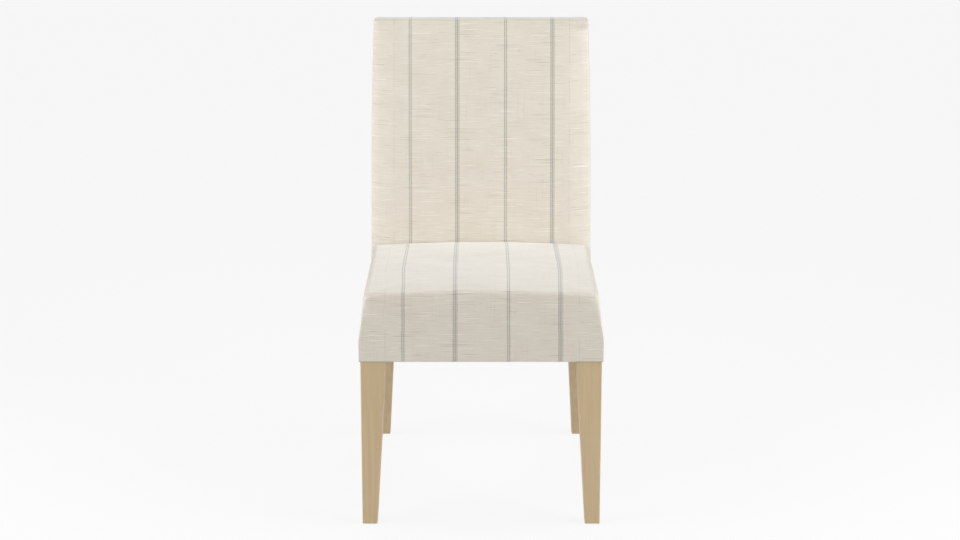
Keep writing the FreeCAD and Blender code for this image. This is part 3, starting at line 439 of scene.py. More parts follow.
def back_outline(z, inset, edge):
    """Front, right side, rear and left side of the back's level cross-section."""
    inward = inset + edge
    climb = max(z - WAIST, 0)
    part = climb / (BACK_TOP - WAIST)
    half = COVER_HALF - BACK_DRAW * part ** 3 - inward
    front = BACK_FRONT + climb * LEAN_SLOPE - BACK_CROWN * bulge(part) + inward
    rear = BACK_REAR + rear_line(z) - inward
    crown = BACK_CROWN * opened(z)
    side_front = front + crown
    left = back_side(-1, z, half, rear, side_front, inward, inset, BLUNT_LEFT)
    right = back_side(1, z, half, rear, side_front, inward, inset, BLUNT_RIGHT)
    middle = [(0, front, CROWN_SPAN / 2 * half / crown)]
    arcs = arcs_of(left[::-1] + middle + right, True)
    # Arc 0 is the rear left corner, 1 to 3 the left edge, 4 the front, 5 to 7 the right edge, 8 the rear
    # right corner.
    return {
        FRONT: (arcs[1:8], BACK_COLUMNS),
        RIGHT: ([arcs[7][-1:], arcs[8][:1]], DEPTH_COLUMNS),
        REAR: ([arcs[8], arcs[0]], BACK_COLUMNS),
        LEFT: ([arcs[0][-1:], arcs[1][:1]], DEPTH_COLUMNS),
    }


def level(points, z):
    return np.stack([points[:, 0], points[:, 1], np.full(len(points), z)], 1)


def back_surface(name, inset, bottom, fabric_shift=0.0):
    """The back's form, so far inside its cover, down to the bottom."""
    top = BACK_TOP - inset
    radius = BACK_TOP_RADIUS - inset
    stations = [(z, 0) for z in np.linspace(bottom, top - radius, BACK_ROWS + 1)]
    for turn in TOP_TURNS:
        angle = math.radians(turn)
        stations.append((top - radius * (1 - math.sin(angle)), radius * (1 - math.cos(angle))))
    grids = {key: [] for key in (FRONT, RIGHT, REAR, LEFT)}
    across = {key: [] for key in grids}
    for z, edge in stations:
        outline = back_outline(z, inset, edge)
        lengths = {}
        for key, (points, count) in outline.items():
            made, lengths[key] = resample(points, count)
            grids[key].append(level(made, z))
        middle_at = np.interp(0, grids[FRONT][-1][:, 0], lengths[FRONT])
        across[FRONT].append(lengths[FRONT] - middle_at)
        across[RIGHT].append(lengths[FRONT][-1] - middle_at + lengths[RIGHT])
        across[REAR].append(lengths[REAR][-1] / 2 - lengths[REAR])
        across[LEFT].append(lengths[LEFT] - lengths[LEFT][-1] - middle_at)
    grids = {key: np.array(value) for key, value in grids.items()}
    middle = grids[FRONT][:, BACK_COLUMNS // 2]
    path = path_lengths(middle)
    form = Form(name)
    for key, grid in grids.items():
        u = np.array(across[key]) - fabric_shift
        form.panel(key, grid, np.stack([u, np.broadcast_to(path[:, None], u.shape)], -1))
    for key, row in ((TOP, -1), (UNDER, 0)):
        front, rear = grids[FRONT][row], grids[REAR][row][::-1]
        cap = coons(front, rear, grids[LEFT][row][::-1], grids[RIGHT][row])
        depth = cap[..., 1] - front[BACK_COLUMNS // 2, 1]
        form.panel(key, cap, np.stack([cap[..., 0] - fabric_shift, path[row] + depth], -1))
    return form.build()


# Stuffing: the form starts a little smaller, and air pressure fills the fabric out

PUFF_FRAMES = 20
PUFF_IN, PUFF_OUT, PUFF_EASE = 0.5, 2.0, 1.0
PIN_STEPS = 10
FABRIC_FORCES = {
    "quality": 5,
    "mass": 0.3,
    "tension_stiffness": 15,
    "compression_stiffness": 15,
    "shear_stiffness": 8,
    "bending_stiffness": 0.8,
    "vertex_group_mass": "pin",
    "pin_stiffness": 1,
    "use_pressure": True,
    "uniform_pressure_force": 4,
}


def set_key(key, points):
    key.data.foreach_set("co", points.astype(np.float32).reshape(-1))


def puff(obj, slack):
    """Blows the form up against its fabric. slack is how far each point starts inside, in millimetres."""
    mesh = obj.data
    full = coordinates(mesh)
    normals = coordinates(mesh, "vertices", "normal")
    most_slack = slack.max()
    copy = put(obj.name + "_air", mesh.copy())
    start = full - normals * (slack * MM)[:, None]
    copy.shape_key_add(name="start")
    place_vertices(copy.data, start)
    set_key(copy.data.shape_keys.key_blocks["start"], start)
    sewn = copy.shape_key_add(name="as_sewn")
    set_key(sewn, full + normals * (PUFF_EASE * MM * slack / most_slack)[:, None])
    group = copy.vertex_groups.new(name="pin")
    tight = 1 - slack / most_slack
    for step in range(PIN_STEPS + 1):
        members = np.flatnonzero(np.round(tight * PIN_STEPS) == step).tolist()
        group.add(members, (step / PIN_STEPS) ** 3, "REPLACE")
    cloth = copy.modifiers.new("cloth", "CLOTH")
    for key, value in FABRIC_FORCES.items():
        setattr(cloth.settings, key, value)
    cloth.settings.rest_shape_key = sewn
    cloth.settings.effector_weights.gravity = 0
    cloth.collision_settings.use_collision = False
    cloth.collision_settings.use_self_collision = False
    cloth.point_cache.frame_start = 1
    cloth.point_cache.frame_end = PUFF_FRAMES
    scene = bpy.context.scene
    for number in range(1, PUFF_FRAMES + 1):
        scene.frame_set(number)
    blown = copy.evaluated_get(bpy.context.evaluated_depsgraph_get()).to_mesh()
    moved = coordinates(blown) - full
    outward = (moved * normals).sum(1) / MM
    most = np.where(outward > 0, PUFF_OUT, PUFF_IN)
    kept = most * np.tanh(outward / most)
    place_vertices(mesh, full + normals * (kept * smooth(0, 1, slack) * MM)[:, None])
    scene.frame_set(1)
    bpy.data.objects.remove(copy)


def face_centres(mesh):
    return coordinates(mesh, "polygons", "center") / MM


def in_legs(centres):
    """Which points lie in the squares of the four legs."""
    x, y = np.abs(centres[:, 0]), centres[:, 1]
    return (x > INNER) & ((y < LEG_REAR) | (y > POST_FRONT))


def thicken(obj, thick):
    """Gives a skin its thickness, inwards."""
    solid = obj.modifiers.new("cloth_thickness", "SOLIDIFY")
    solid.thickness = thick * MM
    solid.offset = -1


def as_cover(obj, thick=COVER_THICK):
    """Makes a skin finer and gives it the thickness of its fabric."""
    finer = obj.modifiers.new("finer", "SUBSURF")
    finer.levels = finer.render_levels = 1
    finer.boundary_smooth = "PRESERVE_CORNERS"
    thicken(obj, thick)


# Where the covers start smaller, and by how much
SEAT_SLACK, SEAT_SLACK_Z = 5.0, (405.0, 470.0)
SEAT_SLACK_FRONT, SEAT_SLACK_REAR = (SEAT_FRONT - 1, SEAT_FRONT + 30), (SEAT_REAR + 1, SEAT_REAR - 12)
BACK_SLACK, BACK_SLACK_Z = 4.5, (452.0, 500.0)
BACK_SLACK_TOP, BACK_SLACK_DEPTH = (BACK_TOP, BACK_TOP - 45), (40.0, 6.0)

# How far the pattern lies to the right of the middle
SEAT_FABRIC_SHIFT, BACK_FABRIC_SHIFT = 2.1, 1.4

# Where the covers end behind each other, at the meeting of seat and back
SEAT_REAR_OPEN, SEAT_HEM_END = DECK_LEVEL + 8, SEAT_REAR - 4
BACK_FRONT_OPEN, BACK_FRONT_EDGE = TUCK_LEVEL - 2, 4.0


def seat_cover():
    """The seat's cover: top, front and sides, turned under at the hem and open where the legs pass."""
    cover = seat_surface("seat_cover_fabric", 0, HEM, SEAT_FABRIC_SHIFT)
    mesh = cover.data
    points = coordinates(mesh) / MM
    x, y, z = points.T
    flare = smooth(*FLARE_Z, z) * smooth(*FLARE_Y, y)
    x *= 1 + CORNER_FLARE / COVER_HALF * flare
    place_vertices(mesh, points * MM)
    slack = SEAT_SLACK * smooth(*SEAT_SLACK_Z, z) * smooth(*SEAT_SLACK_FRONT, y)
    slack *= smooth(*SEAT_SLACK_REAR, y)
    puff(cover, slack)
    centres = face_centres(mesh)
    labels = panels_of(mesh)
    x, y, z = centres.T
    outside = (np.abs(x) > HALF - COVER_TURN) | (y < LEG_FRONT + COVER_TURN)
    doomed = (labels == UNDER) & (~outside | in_legs(centres))
    doomed |= (labels == REAR) & (z < SEAT_REAR_OPEN)
    doomed |= (labels == UNDER) & (y > SEAT_HEM_END)
    delete_faces(cover, doomed)
    as_cover(cover)
    return cover


def back_cover():
    """The back's cover: inside back, top and sides, turned in behind and under."""
    cover = back_surface("back_cover_fabric", 0, HEM, BACK_FABRIC_SHIFT)
    mesh = cover.data
    points = coordinates(mesh) / MM
    x, y, z = points.T
    front = BACK_FRONT + np.maximum(z - WAIST, 0) * LEAN_SLOPE
    slack = BACK_SLACK * smooth(*BACK_SLACK_Z, z) * smooth(*BACK_SLACK_TOP, z)
    slack *= smooth(*BACK_SLACK_DEPTH, y - front)
    puff(cover, slack)
    centres = face_centres(mesh)
    labels = panels_of(mesh)
    x, y, z = centres.T
    turned = (np.abs(x) > HALF - COVER_TURN) & ~in_legs(centres)
    doomed = (labels == UNDER) & ~turned
    doomed |= (labels == FRONT) & (z < BACK_FRONT_OPEN) & (np.abs(x) < HALF - BACK_FRONT_EDGE)
    opening = (np.abs(x) < HALF - COVER_TURN - BACK_DRAW) & (z < PANEL_TOP - COVER_TURN)
    doomed |= (labels == REAR) & opening
    delete_faces(cover, doomed)
    as_cover(cover)
    return cover


def core(name, surface, inset, bottom, thick=None):
    """Stuffing under a cover: a closed block, or a layer of the given thickness."""
    made = surface(name, inset, bottom)
    if thick is not None:
        labels = panels_of(made.data)
        centres = face_centres(made.data)
        doomed = labels == UNDER
        if surface is back_surface:
            doomed |= behind_posts(centres) & (labels != TOP)
        delete_faces(made, doomed)
        as_cover(made, thick)
    return made


def behind_posts(points):
    """Which points lie behind the leaning plane of the posts' front faces."""
    return points[:, 1] > BACK_FRONT + POSTS_BEHIND + (points[:, 2] - WAIST) * LEAN_SLOPE


LINING_GAP = 5.6


def back_foam():
    """The back's foam block: the form before the posts, flat where it lies on its lining."""
    made = back_surface("back_foam_block", FOAM_IN, TUCK_LEVEL)
    normal = Vector((0, math.cos(LEAN), -math.sin(LEAN)))
    plane = Vector((0, BACK_FRONT + POSTS_BEHIND, WAIST)) * MM - normal * LINING_GAP * MM
    with editing(made.data) as work:
        everything = work.verts[:] + work.edges[:] + work.faces[:]
        cut = bmesh.ops.bisect_plane(
            work, geom=everything, plane_co=plane, plane_no=normal, clear_outer=True
        )
        rim = [item for item in cut["geom_cut"] if isinstance(item, bmesh.types.BMEdge)]
        bmesh.ops.edgenet_fill(work, edges=rim)
        bmesh.ops.recalc_face_normals(work, faces=work.faces)
    return made


# Flat sheets

LEAST_STEP = 0.25


def grid_sheet(name, columns, rows, shape, wanted=None):
    """A sheet over a grid of fabric coordinates. shape gives each point in millimetres."""
    across, along = np.meshgrid(columns, rows)
    points = shape(across, along)
    index = np.arange(across.size).reshape(across.shape)
    quads = quads_of(index)
    if wanted is not None:
        middle = points.reshape(-1, 3)[quads].mean(1)
        quads = quads[wanted(middle)]
    used = np.unique(quads)
    renumber = np.full(across.size, -1)
    renumber[used] = np.arange(len(used))
    mesh = bpy.data.meshes.new(name)
    mesh.from_pydata((points.reshape(-1, 3)[used] * MM).tolist(), [], renumber[quads].tolist())
    fabric = (np.stack([across, along], -1).reshape(-1, 2) * MM)[quads.reshape(-1)]
    mesh.uv_layers.new(name="fabric").data.foreach_set("uv", fabric.reshape(-1))
    for face in mesh.polygons:
        face.use_smooth = True
    return put(name, mesh)


def spaced(low, high, step, fine=()):
    """Even places from low to high, with extra ones at the given distances from both ends."""
    middle = np.linspace(low, high, int(round((high - low) / step)) + 1)
    ends = [low + off for off in fine] + [high - off for off in fine]
    places = np.unique(np.round(np.concatenate([middle, ends]), 3))
    keep = [places[0]]
    for place in places[1:]:
        if place - keep[-1] > LEAST_STEP:
            keep.append(place)
    return np.array(keep)


# Outside back: its edge is rounded over EDGE_TURN, and it is full and uneven inside
PANEL_EDGE = (0.5, 1.2, 2.2, 4.0)
PANEL_NEAR, PANEL_THICK = 231.0, 1.3
PANEL_CLOTH = 0.9
PANEL_STEP = 8
EDGE_TURN = 2.2
FULLNESS, FULL_REACH = 1.1, 22
RIPPLE = 0.25
RIPPLE_WAVE_X, RIPPLE_WAVE_Z, RIPPLE_PHASE = 0.012, 0.009, 3.3
HEM_SPARE = 1.5


def outside_back():
    """The outside back: its edges are turned in and pinned down, its middle is slightly full."""

    def shape(x, z):
        part = np.clip((z - WAIST) / (BACK_TOP - WAIST), 0, 1)
        half = PANEL_HALF - BACK_DRAW * part ** 3
        narrow = x * half / PANEL_HALF
        edge = np.minimum(np.minimum(half - np.abs(narrow), z - HEM), PANEL_TOP - z)
        lift = PANEL_THICK * np.sqrt(1 - (1 - np.clip(edge / EDGE_TURN, 0, 1)) ** 2)
        full = FULLNESS * (1 - np.exp(-np.clip(edge, 0, None) / FULL_REACH))
        ripple = np.zeros_like(x)
        for index in np.ndindex(x.shape):
            place = (x[index] * RIPPLE_WAVE_X, z[index] * RIPPLE_WAVE_Z, RIPPLE_PHASE)
            ripple[index] = noise.noise(Vector(place))
        y = PANEL_NEAR + rear_line(z) + lift + full + RIPPLE * ripple * full
        return np.stack([narrow, y, z], -1)

    columns = spaced(-PANEL_HALF, PANEL_HALF, PANEL_STEP, PANEL_EDGE)
    rows = spaced(HEM, PANEL_TOP, PANEL_STEP, PANEL_EDGE)
    sheet = grid_sheet("outside_back_fabric", columns, rows, shape)
    between_posts = (INNER - HEM_SPARE) * MM
    with editing(sheet.data) as work:
        bmesh.ops.reverse_faces(work, faces=work.faces)
        hem = [
            edge for edge in work.edges
            if all(abs(v.co.z - HEM * MM) < 1e-6 and abs(v.co.x) < between_posts for v in edge.verts)
        ]
        turned = bmesh.ops.extrude_edge_only(work, edges=hem)["geom"]
        moved = [item for item in turned if isinstance(item, bmesh.types.BMVert)]
        bmesh.ops.translate(work, verts=moved, vec=(0, -COVER_TURN * MM, 0))
    thicken(sheet, PANEL_CLOTH)
    return sheet


# Dust cover, so far inside the frame's edge and off the rails.
# It sags in the middle and puckers between the staples at its edge.
DUST_EDGE, DUST_OFF = 6, 0.35
DUST_HALF = HALF - DUST_EDGE
DUST_CLOTH = 0.4
DUST_STEP, DUST_FINE = 6, (1, 3)
LEG_SPARE = 1
SAG, SAG_IN = 2.6, (4, 90)
PUCKER, PUCKER_IN, PUCKER_OUT = 0.25, (0, 5), (40, 8)
STAPLE_STEP = 42.0


def dust_cover():
    """The cloth under the frame: it sags a little between its staples."""
    low_y, high_y = LEG_FRONT + DUST_EDGE, FRAME_BACK - DUST_EDGE
    notch = INNER - LEG_SPARE
    notch_front, notch_rear = LEG_REAR + LEG_SPARE, POST_FRONT - LEG_SPARE

    def shape(x, y):
        inside = np.minimum(DUST_HALF - np.abs(x), np.minimum(y - low_y, high_y - y))
        sag = SAG * smooth(*SAG_IN, inside)
        wave_x, wave_y = (np.cos(2 * math.pi * value / STAPLE_STEP) for value in (x, y))
        pucker = PUCKER * wave_x * wave_y
        pucker *= smooth(*PUCKER_IN, inside) * smooth(*PUCKER_OUT, inside)
        return np.stack([x, y, HEM - DUST_OFF - sag - pucker], -1)

    def wanted(points):
        x, y, _ = points.T
        return ~((np.abs(x) > notch) & ((y < notch_front) | (y > notch_rear)))

    columns = np.append(spaced(-DUST_HALF, DUST_HALF, DUST_STEP, DUST_FINE), [-notch, notch])
    rows = np.append(spaced(low_y, high_y, DUST_STEP, DUST_FINE), [notch_front, notch_rear])
    sheet = grid_sheet("dust_cover_cloth", np.unique(columns), np.unique(rows), shape, wanted)
    thicken(sheet, DUST_CLOTH)
    return sheet


# A staple's crown: places along it and how far down, and the half width and half height of its wire
STAPLE_CROWN = ((-5.0, 0.5), (-4.6, 1.1), (-4.0, 1.25), (4.0, 1.25), (4.6, 1.1), (5.0, 0.5))
STAPLE_WIDE, STAPLE_DEEP = 0.5, 0.28
STAPLE_SIDES = 8
STAPLE_INSET = 5.0
STAPLES_EACH_WAY = 4
SIDE_STAPLES = (LEG_REAR + 22, POST_FRONT - 12)


def staples():
    """Wire staples round the dust cover, their crowns flat on it."""
    points, faces, places = [], [], []
    front = LEG_FRONT + DUST_EDGE + STAPLE_INSET
    rear = FRAME_BACK - DUST_EDGE - STAPLE_INSET
    side = DUST_HALF - STAPLE_INSET
    for x in np.arange(-STAPLES_EACH_WAY, STAPLES_EACH_WAY + 1) * STAPLE_STEP:
        places += [(x, front, 1, 0), (x, rear, 1, 0)]
    for y in np.arange(*SIDE_STAPLES, STAPLE_STEP):
        places += [(-side, y, 0, 1), (side, y, 0, 1)]
    turns = np.arange(STAPLE_SIDES) * 2 * math.pi / STAPLE_SIDES
    ring = np.arange(STAPLE_SIDES)
    for x, y, along_x, along_y in places:
        first = len(points)
        for along, drop in STAPLE_CROWN:
            for turn in turns:
                off = STAPLE_WIDE * math.cos(turn)
                points.append((
                    x + along * along_x + off * along_y,
                    y + along * along_y + off * along_x,
                    HEM - DUST_OFF - drop + STAPLE_DEEP * math.sin(turn),
                ))
        starts = first + STAPLE_SIDES * np.arange(len(STAPLE_CROWN))
        for start in starts[:-1]:
            for a, b in zip(start + ring, start + np.roll(ring, -1)):
                faces.append((a, b, b + STAPLE_SIDES, a + STAPLE_SIDES))
        faces += [tuple(start + ring) for start in (starts[0], starts[-1])]
    mesh = bpy.data.meshes.new("dust_cover_staples")
    mesh.from_pydata((np.array(points) * MM).tolist(), [], [[int(k) for k in face] for face in faces])
    with editing(mesh) as work:
        bmesh.ops.recalc_face_normals(work, faces=work.faces)
    return put("dust_cover_staples", mesh)


# Materials

def linear(red, green, blue):
    """A colour as seen on a screen, 0 to 255, as the shader wants it."""
    made = []
    for value in (red, green, blue):
        part = value / 255
        made.append(part / 12.92 if part <= 0.04045 else ((part + 0.055) / 1.055) ** 2.4)
    return (*made, 1.0)


class Finish:
    """A material and its nodes."""

    def __init__(self, name, roughness, specular=0.3, metallic=0.0, sheen=0.0, coat=0.0):
        self.material = bpy.data.materials.new(name)
        self.material.use_nodes = True
        self.tree = self.material.node_tree
        self.shader = self.tree.nodes["Principled BSDF"]
        for key, number in (
            ("Roughness", roughness),
            ("Specular IOR Level", specular),
            ("Metallic", metallic),
            ("Sheen Weight", sheen),
            ("Sheen Roughness", 0.5),
            ("Coat Weight", coat),
            ("Coat Roughness", 0.3),
        ):
            self.shader.inputs[key].default_value = number

    def feed(self, socket, value):
        """Links a node's output to the socket, or sets its value."""
        if isinstance(value, bpy.types.NodeSocket):
            self.tree.links.new(value, socket)
        else:
            socket.default_value = value

    def add(self, kind, inputs, output=0, **settings):
        """One output of a new node."""
        node = self.tree.nodes.new("ShaderNode" + kind)
        for key, setting in settings.items():
            setattr(node, key, setting)
        for key, value in inputs.items():
            self.feed(node.inputs[key], value)
        return node.outputs[output]

    def math(self, operation, *values):
        return self.add("Math", dict(enumerate(values)), operation=operation)

    def fabric(self):
        return self.add("UVMap", {}, uv_map="fabric")

    def place(self):
        return self.add("TexCoord", {}, "Object")

    def split(self, vector):
        node = self.tree.nodes.new("ShaderNodeSeparateXYZ")
        self.feed(node.inputs[0], vector)
        return node.outputs

    def stretch(self, vector, factors, shift=(0, 0, 0)):
        scaled = self.add("VectorMath", {0: vector, 1: factors}, operation="MULTIPLY")
        return self.add("VectorMath", {0: scaled, 1: shift}, operation="ADD")

    def noise(self, vector, detail=2.0, rough=0.5):
        inputs = {"Vector": vector, "Scale": 1.0, "Detail": detail, "Roughness": rough}
        return self.add("TexNoise", inputs)

    def between(self, value, low, high):
        """0 below low, 1 above high and a smooth step in between."""
        inputs = {"Value": value, "From Min": low, "From Max": high}
        return self.add("MapRange", inputs, interpolation_type="SMOOTHSTEP")

    def blend(self, factor, first, second):
        return self.add("Mix", {0: factor, 6: first, 7: second}, 2, data_type="RGBA")

    def bump(self, height, distance, strength):
        inputs = {"Height": height, "Distance": distance, "Strength": strength}
        return self.add("Bump", inputs)

    def done(self, colour, normal, roughness=None):
        self.feed(self.shader.inputs["Base Color"], colour)
        self.feed(self.shader.inputs["Normal"], normal)
        if roughness is not None:
            self.feed(self.shader.inputs["Roughness"], roughness)
        return self.material


# The cloth's pattern, in metres of fabric
STRIPE_REPEAT = 0.2079
NARROW_AT, WIDE_AT = -0.156, -0.053
PATTERN_HALF = 0.215
# How far off the middle of the cloth a broken line of painted shade runs. It stands in for the shade where
# the back's front starts to turn round to its sides.
SHADE_LINE_AT = 0.1915
PICK_STEP = 0.0024
WEAVE_STEP = 0.0019
STRIPE_WANDER = 0.0010

# Lines of dark yarn in both kinds of stripe: (off the stripe's middle, half width, soft edge)
NARROW_LINES = ((-0.0021, 0.0008, 0.0004), (0.0021, 0.0008, 0.0004))
WIDE_LINES = ((-0.0043, 0.0006, 0.0004), (0.0, 0.0006, 0.0004))


def stripe_distance(finish, across, at):
    """Signed distance from the nearest stripe of one kind."""
    offset = finish.math("SUBTRACT", across, at)
    return finish.math("WRAP", offset, STRIPE_REPEAT / 2, -STRIPE_REPEAT / 2)


def band(finish, distance, centre, half_width, soft):
    """1 inside a line beside the stripe's middle, 0 outside."""
    off = finish.math("ABSOLUTE", finish.math("SUBTRACT", distance, centre))
    return finish.math("SUBTRACT", 1.0, finish.between(off, half_width - soft, half_width + soft))


def wave(finish, along, step):
    return finish.math("SINE", finish.math("MULTIPLY", along, 2 * math.pi / step))


def striped_linen():
    """Slub linen: a mottled ground, thick and thin yarns, two kinds of stripe by turns, and a broken line
    of painted shade near the sides.

    Each noise is stretched by its own rates along u and v, in cells to the metre.
    """
    linen = Finish("striped_linen", roughness=0.9, specular=0.15, sheen=0.5)
    fabric = linen.fabric()
    wander = linen.noise(linen.stretch(fabric, (6, 7, 0)), 1)
    wander = linen.math("MULTIPLY", linen.math("SUBTRACT", wander, 0.5), STRIPE_WANDER)
    u, v, _ = linen.split(fabric)
    across = linen.math("ADD", u, wander)

    cream, sand = linear(219, 211, 199.5), linear(216, 207.5, 195)
    pale, deep = linear(238, 233, 224), linear(183, 173, 157)
    long_slubs = linen.noise(linen.stretch(fabric, (11, 560, 0)), 1.5)
    short_slubs = linen.noise(linen.stretch(fabric, (34, 760, 0), (3.7, 8.1, 0)), 1.5)
    warp = linen.noise(linen.stretch(fabric, (620, 10, 0), (1.3, 5.2, 0)), 2)
    mottle = linen.noise(linen.stretch(fabric, (14, 22, 0), (7.7, 2.9, 0)), 3)
    colour = linen.blend(linen.between(mottle, 0.3, 0.7), cream, sand)
    light = linen.math(
        "MAXIMUM", linen.between(long_slubs, 0.62, 0.72), linen.between(short_slubs, 0.64, 0.74)
    )
    dark = linen.math(
        "MAXIMUM", linen.between(long_slubs, 0.37, 0.27), linen.between(short_slubs, 0.35, 0.25)
    )
    colour = linen.blend(linen.math("MULTIPLY", light, 0.8), colour, pale)
    colour = linen.blend(linen.math("MULTIPLY", dark, 0.75), colour, deep)
    colour = linen.blend(linen.math("MULTIPLY", linen.between(warp, 0.62, 0.75), 0.3), colour, deep)
    # Painted shade: a broken darker line along the cloth, where the back's front starts to turn round to
    # its sides
    painted_shade_line = band(linen, linen.math("ABSOLUTE", u), SHADE_LINE_AT, 0.0007, 0.0005)
    breaks = linen.noise(linen.stretch(fabric, (3, 22, 0), (4.1, 9.9, 0)), 1)
    painted_shade_line = linen.math("MULTIPLY", painted_shade_line, linen.between(breaks, 0.42, 0.52))
    colour = linen.blend(linen.math("MULTIPLY", painted_shade_line, 0.3), colour, deep)

    narrow = stripe_distance(linen, across, NARROW_AT)
    wide = stripe_distance(linen, across, WIDE_AT)
    flecks = linen.noise(linen.stretch(fabric, (600, 520, 0), (9.3, 1.7, 0)), 1)
    flecks = linen.between(flecks, 0.36, 0.64)
    dots = linen.math("MULTIPLY_ADD", flecks, 0.34, 0.46)
    dots = linen.math("MULTIPLY_ADD", wave(linen, v, PICK_STEP), 0.10, dots)
    lines = 0.0
    for stripe, yarns in ((narrow, NARROW_LINES), (wide, WIDE_LINES)):
        for centre, half_width, soft in yarns:
            lines = linen.math("ADD", lines, band(linen, stripe, centre, half_width, soft))
    fill = linen.math(
        "ADD",
        linen.math("MULTIPLY", band(linen, narrow, 0.0, 0.0026, 0.0010), 0.35),
        band(linen, wide, 0.0, 0.0048, 0.0006),
    )
    fill = linen.math("MULTIPLY", fill, linen.math("MULTIPLY_ADD", flecks, 0.34, 0.16))
    tint = linen.noise(linen.stretch(fabric, (60, 45, 0), (2.2, 6.6, 0)), 2)
    green_grey, violet_grey = linear(140, 146, 136), linear(146, 144, 146)
    grey = linen.blend(linen.between(tint, 0.35, 0.65), green_grey, violet_grey)
    shown = linen.math("LESS_THAN", linen.math("ABSOLUTE", across), PATTERN_HALF)
    fill = linen.math("MULTIPLY", linen.math("MINIMUM", fill, 1.0), shown)
    colour = linen.blend(fill, colour, grey)
    lines = linen.math("MULTIPLY", linen.math("MULTIPLY", lines, dots), shown)
    colour = linen.blend(lines, colour, linear(126, 129, 124))

    weave = linen.math("MULTIPLY", wave(linen, v, WEAVE_STEP), wave(linen, u, WEAVE_STEP))
    height = linen.math("MULTIPLY_ADD", long_slubs, 1.6, linen.math("MULTIPLY", weave, 0.12))
    height = linen.math("MULTIPLY_ADD", short_slubs, 0.9, height)
    return linen.done(colour, linen.bump(height, 0.0006, 0.5))


def wood(name, pale, deep, roughness, coat):
    """Straight-grained wood, its grain along Z."""
    made = Finish(name, roughness=roughness, specular=0.35, coat=coat)
    place = made.place()
    bend = made.noise(made.stretch(place, (7, 7, 1.6)), 2)
    bend = made.add("VectorMath", {0: (0.02, 0.02, 0.0), 1: bend}, operation="MULTIPLY")
    place = made.add("VectorMath", {0: place, 1: bend}, operation="ADD")
    rings = made.noise(made.stretch(place, (120, 120, 3.0)), 3, 0.6)
    fibres = made.noise(made.stretch(place, (700, 700, 14)), 2)
    pores = made.noise(made.stretch(place, (1500, 1500, 60)), 1)
    colour = made.blend(made.between(rings, 0.3, 0.7), pale, deep)
    dark = tuple(0.72 * value for value in deep[:3]) + (1.0,)
    colour = made.blend(made.math("MULTIPLY", made.between(fibres, 0.5, 0.75), 0.4), colour, deep)
    colour = made.blend(made.math("MULTIPLY", made.between(pores, 0.6, 0.75), 0.25), colour, dark)
    height = made.math("MULTIPLY_ADD", fibres, 0.6, made.math("MULTIPLY", pores, -0.4))
    return made.done(colour, made.bump(height, 0.0003, 0.25))


def steel():
    made = Finish("plated_steel", roughness=0.35, specular=0.5, metallic=0.9)
    spots = made.noise(made.stretch(made.place(), (300, 300, 300)), 3)
    colour = made.blend(spots, linear(206, 205, 200), linear(178, 178, 175))
    return made.done(colour, made.bump(spots, 0.0001, 0.2), made.math("MULTIPLY_ADD", spots, 0.2, 0.25))


def cloth(name, pale, deep, pitch):
    """A plain weave in object coordinates."""
    made = Finish(name, roughness=0.9, specular=0.15, sheen=0.05)
    place = made.place()
    x, y, z = (wave(made, axis, pitch) for axis in made.split(place))
    weave = made.math("MULTIPLY", x, made.math("ADD", y, z))
    worn = made.noise(made.stretch(place, (160, 160, 160)), 3)
    colour = made.blend(made.between(worn, 0.3, 0.7), pale, deep)
    colour = made.blend(made.math("MULTIPLY", made.between(weave, 0.2, 1.4), 0.3), colour, deep)
    return made.done(colour, made.bump(weave, 0.0003, 0.4))


def foam(name, pale, deep, scale):
    """Small cells, for foam and wadding, and for the grain of pressed board."""
    made = Finish(name, roughness=1.0, specular=0.1)
    place = made.place()
    cells = made.add("TexVoronoi", {"Vector": place, "Scale": scale})
    soft = made.noise(made.stretch(place, (40, 40, 40)), 3)
    colour = made.blend(made.between(soft, 0.3, 0.7), pale, deep)
    return made.done(colour, made.bump(cells, 0.0006, 0.6))


materials = {
    "striped_linen": striped_linen(),
    "leg_wood": wood("leg_wood", linear(201, 179, 144), linear(194, 170, 134), 0.5, 0.08),
    "frame_wood": wood("frame_wood", linear(206, 184, 150), linear(190, 163, 124), 0.75, 0.0),
    "plated_steel": steel(),
    "webbing": cloth("webbing", linear(186, 160, 122), linear(158, 131, 94), 0.004),
    "lining_cloth": cloth("lining_cloth", linear(226, 219, 203), linear(207, 197, 177), 0.0012),
    "foam": foam("foam", linear(240, 232, 205), linear(229, 218, 184), 700),
    "wadding": foam("wadding", linear(246, 245, 242), linear(234, 233, 230), 300),
    "board": foam("board", linear(164, 150, 128), linear(146, 130, 108), 500),
    "dust_cloth": cloth("dust_cloth", linear(44, 44, 45), linear(28, 28, 29), 0.0022),
}


def dress(obj, slot):
    obj.data.materials.clear()
    obj.data.materials.append(materials[slot])


for part in frame["record"]["subparts"]:
    dress(nodes[part["node"]], part["material_slot"])


def upholster(obj, slot, *replaced):
    """Gives a piece its material and its place in the chair."""
    dress(obj, slot)
    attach(obj, "root")
    if replaced:
        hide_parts(*replaced)


stuffing = {}
for name, surface, inset, bottom, thick, slot, replaced in (
    ("seat_wadding_layer", seat_surface, WADDING_IN, RAIL_TOP, WADDING_THICK, "wadding", "seat_wadding"),
    ("seat_foam_block", seat_surface, FOAM_IN, DECK_LEVEL, None, "foam", "seat_foam"),
    ("back_wadding_layer", back_surface, WADDING_IN, TUCK_LEVEL, WADDING_THICK, "wadding", "back_wadding"),
):
    stuffing[name] = core(name, surface, inset, bottom, thick)
    upholster(stuffing[name], slot, replaced)
stuffing["back_foam_block"] = back_foam()
upholster(stuffing["back_foam_block"], "foam", "back_foam")

seat = seat_cover()
upholster(seat, "striped_linen", "seat_cover")
back = back_cover()
upholster(back, "striped_linen", "back_cover")
panel = outside_back()
upholster(panel, "striped_linen", "outside_back_panel")
under = dust_cover()
upholster(under, "dust_cloth", "dust_cover")
wires = staples()
upholster(wires, "plated_steel")


# Floor, light and camera

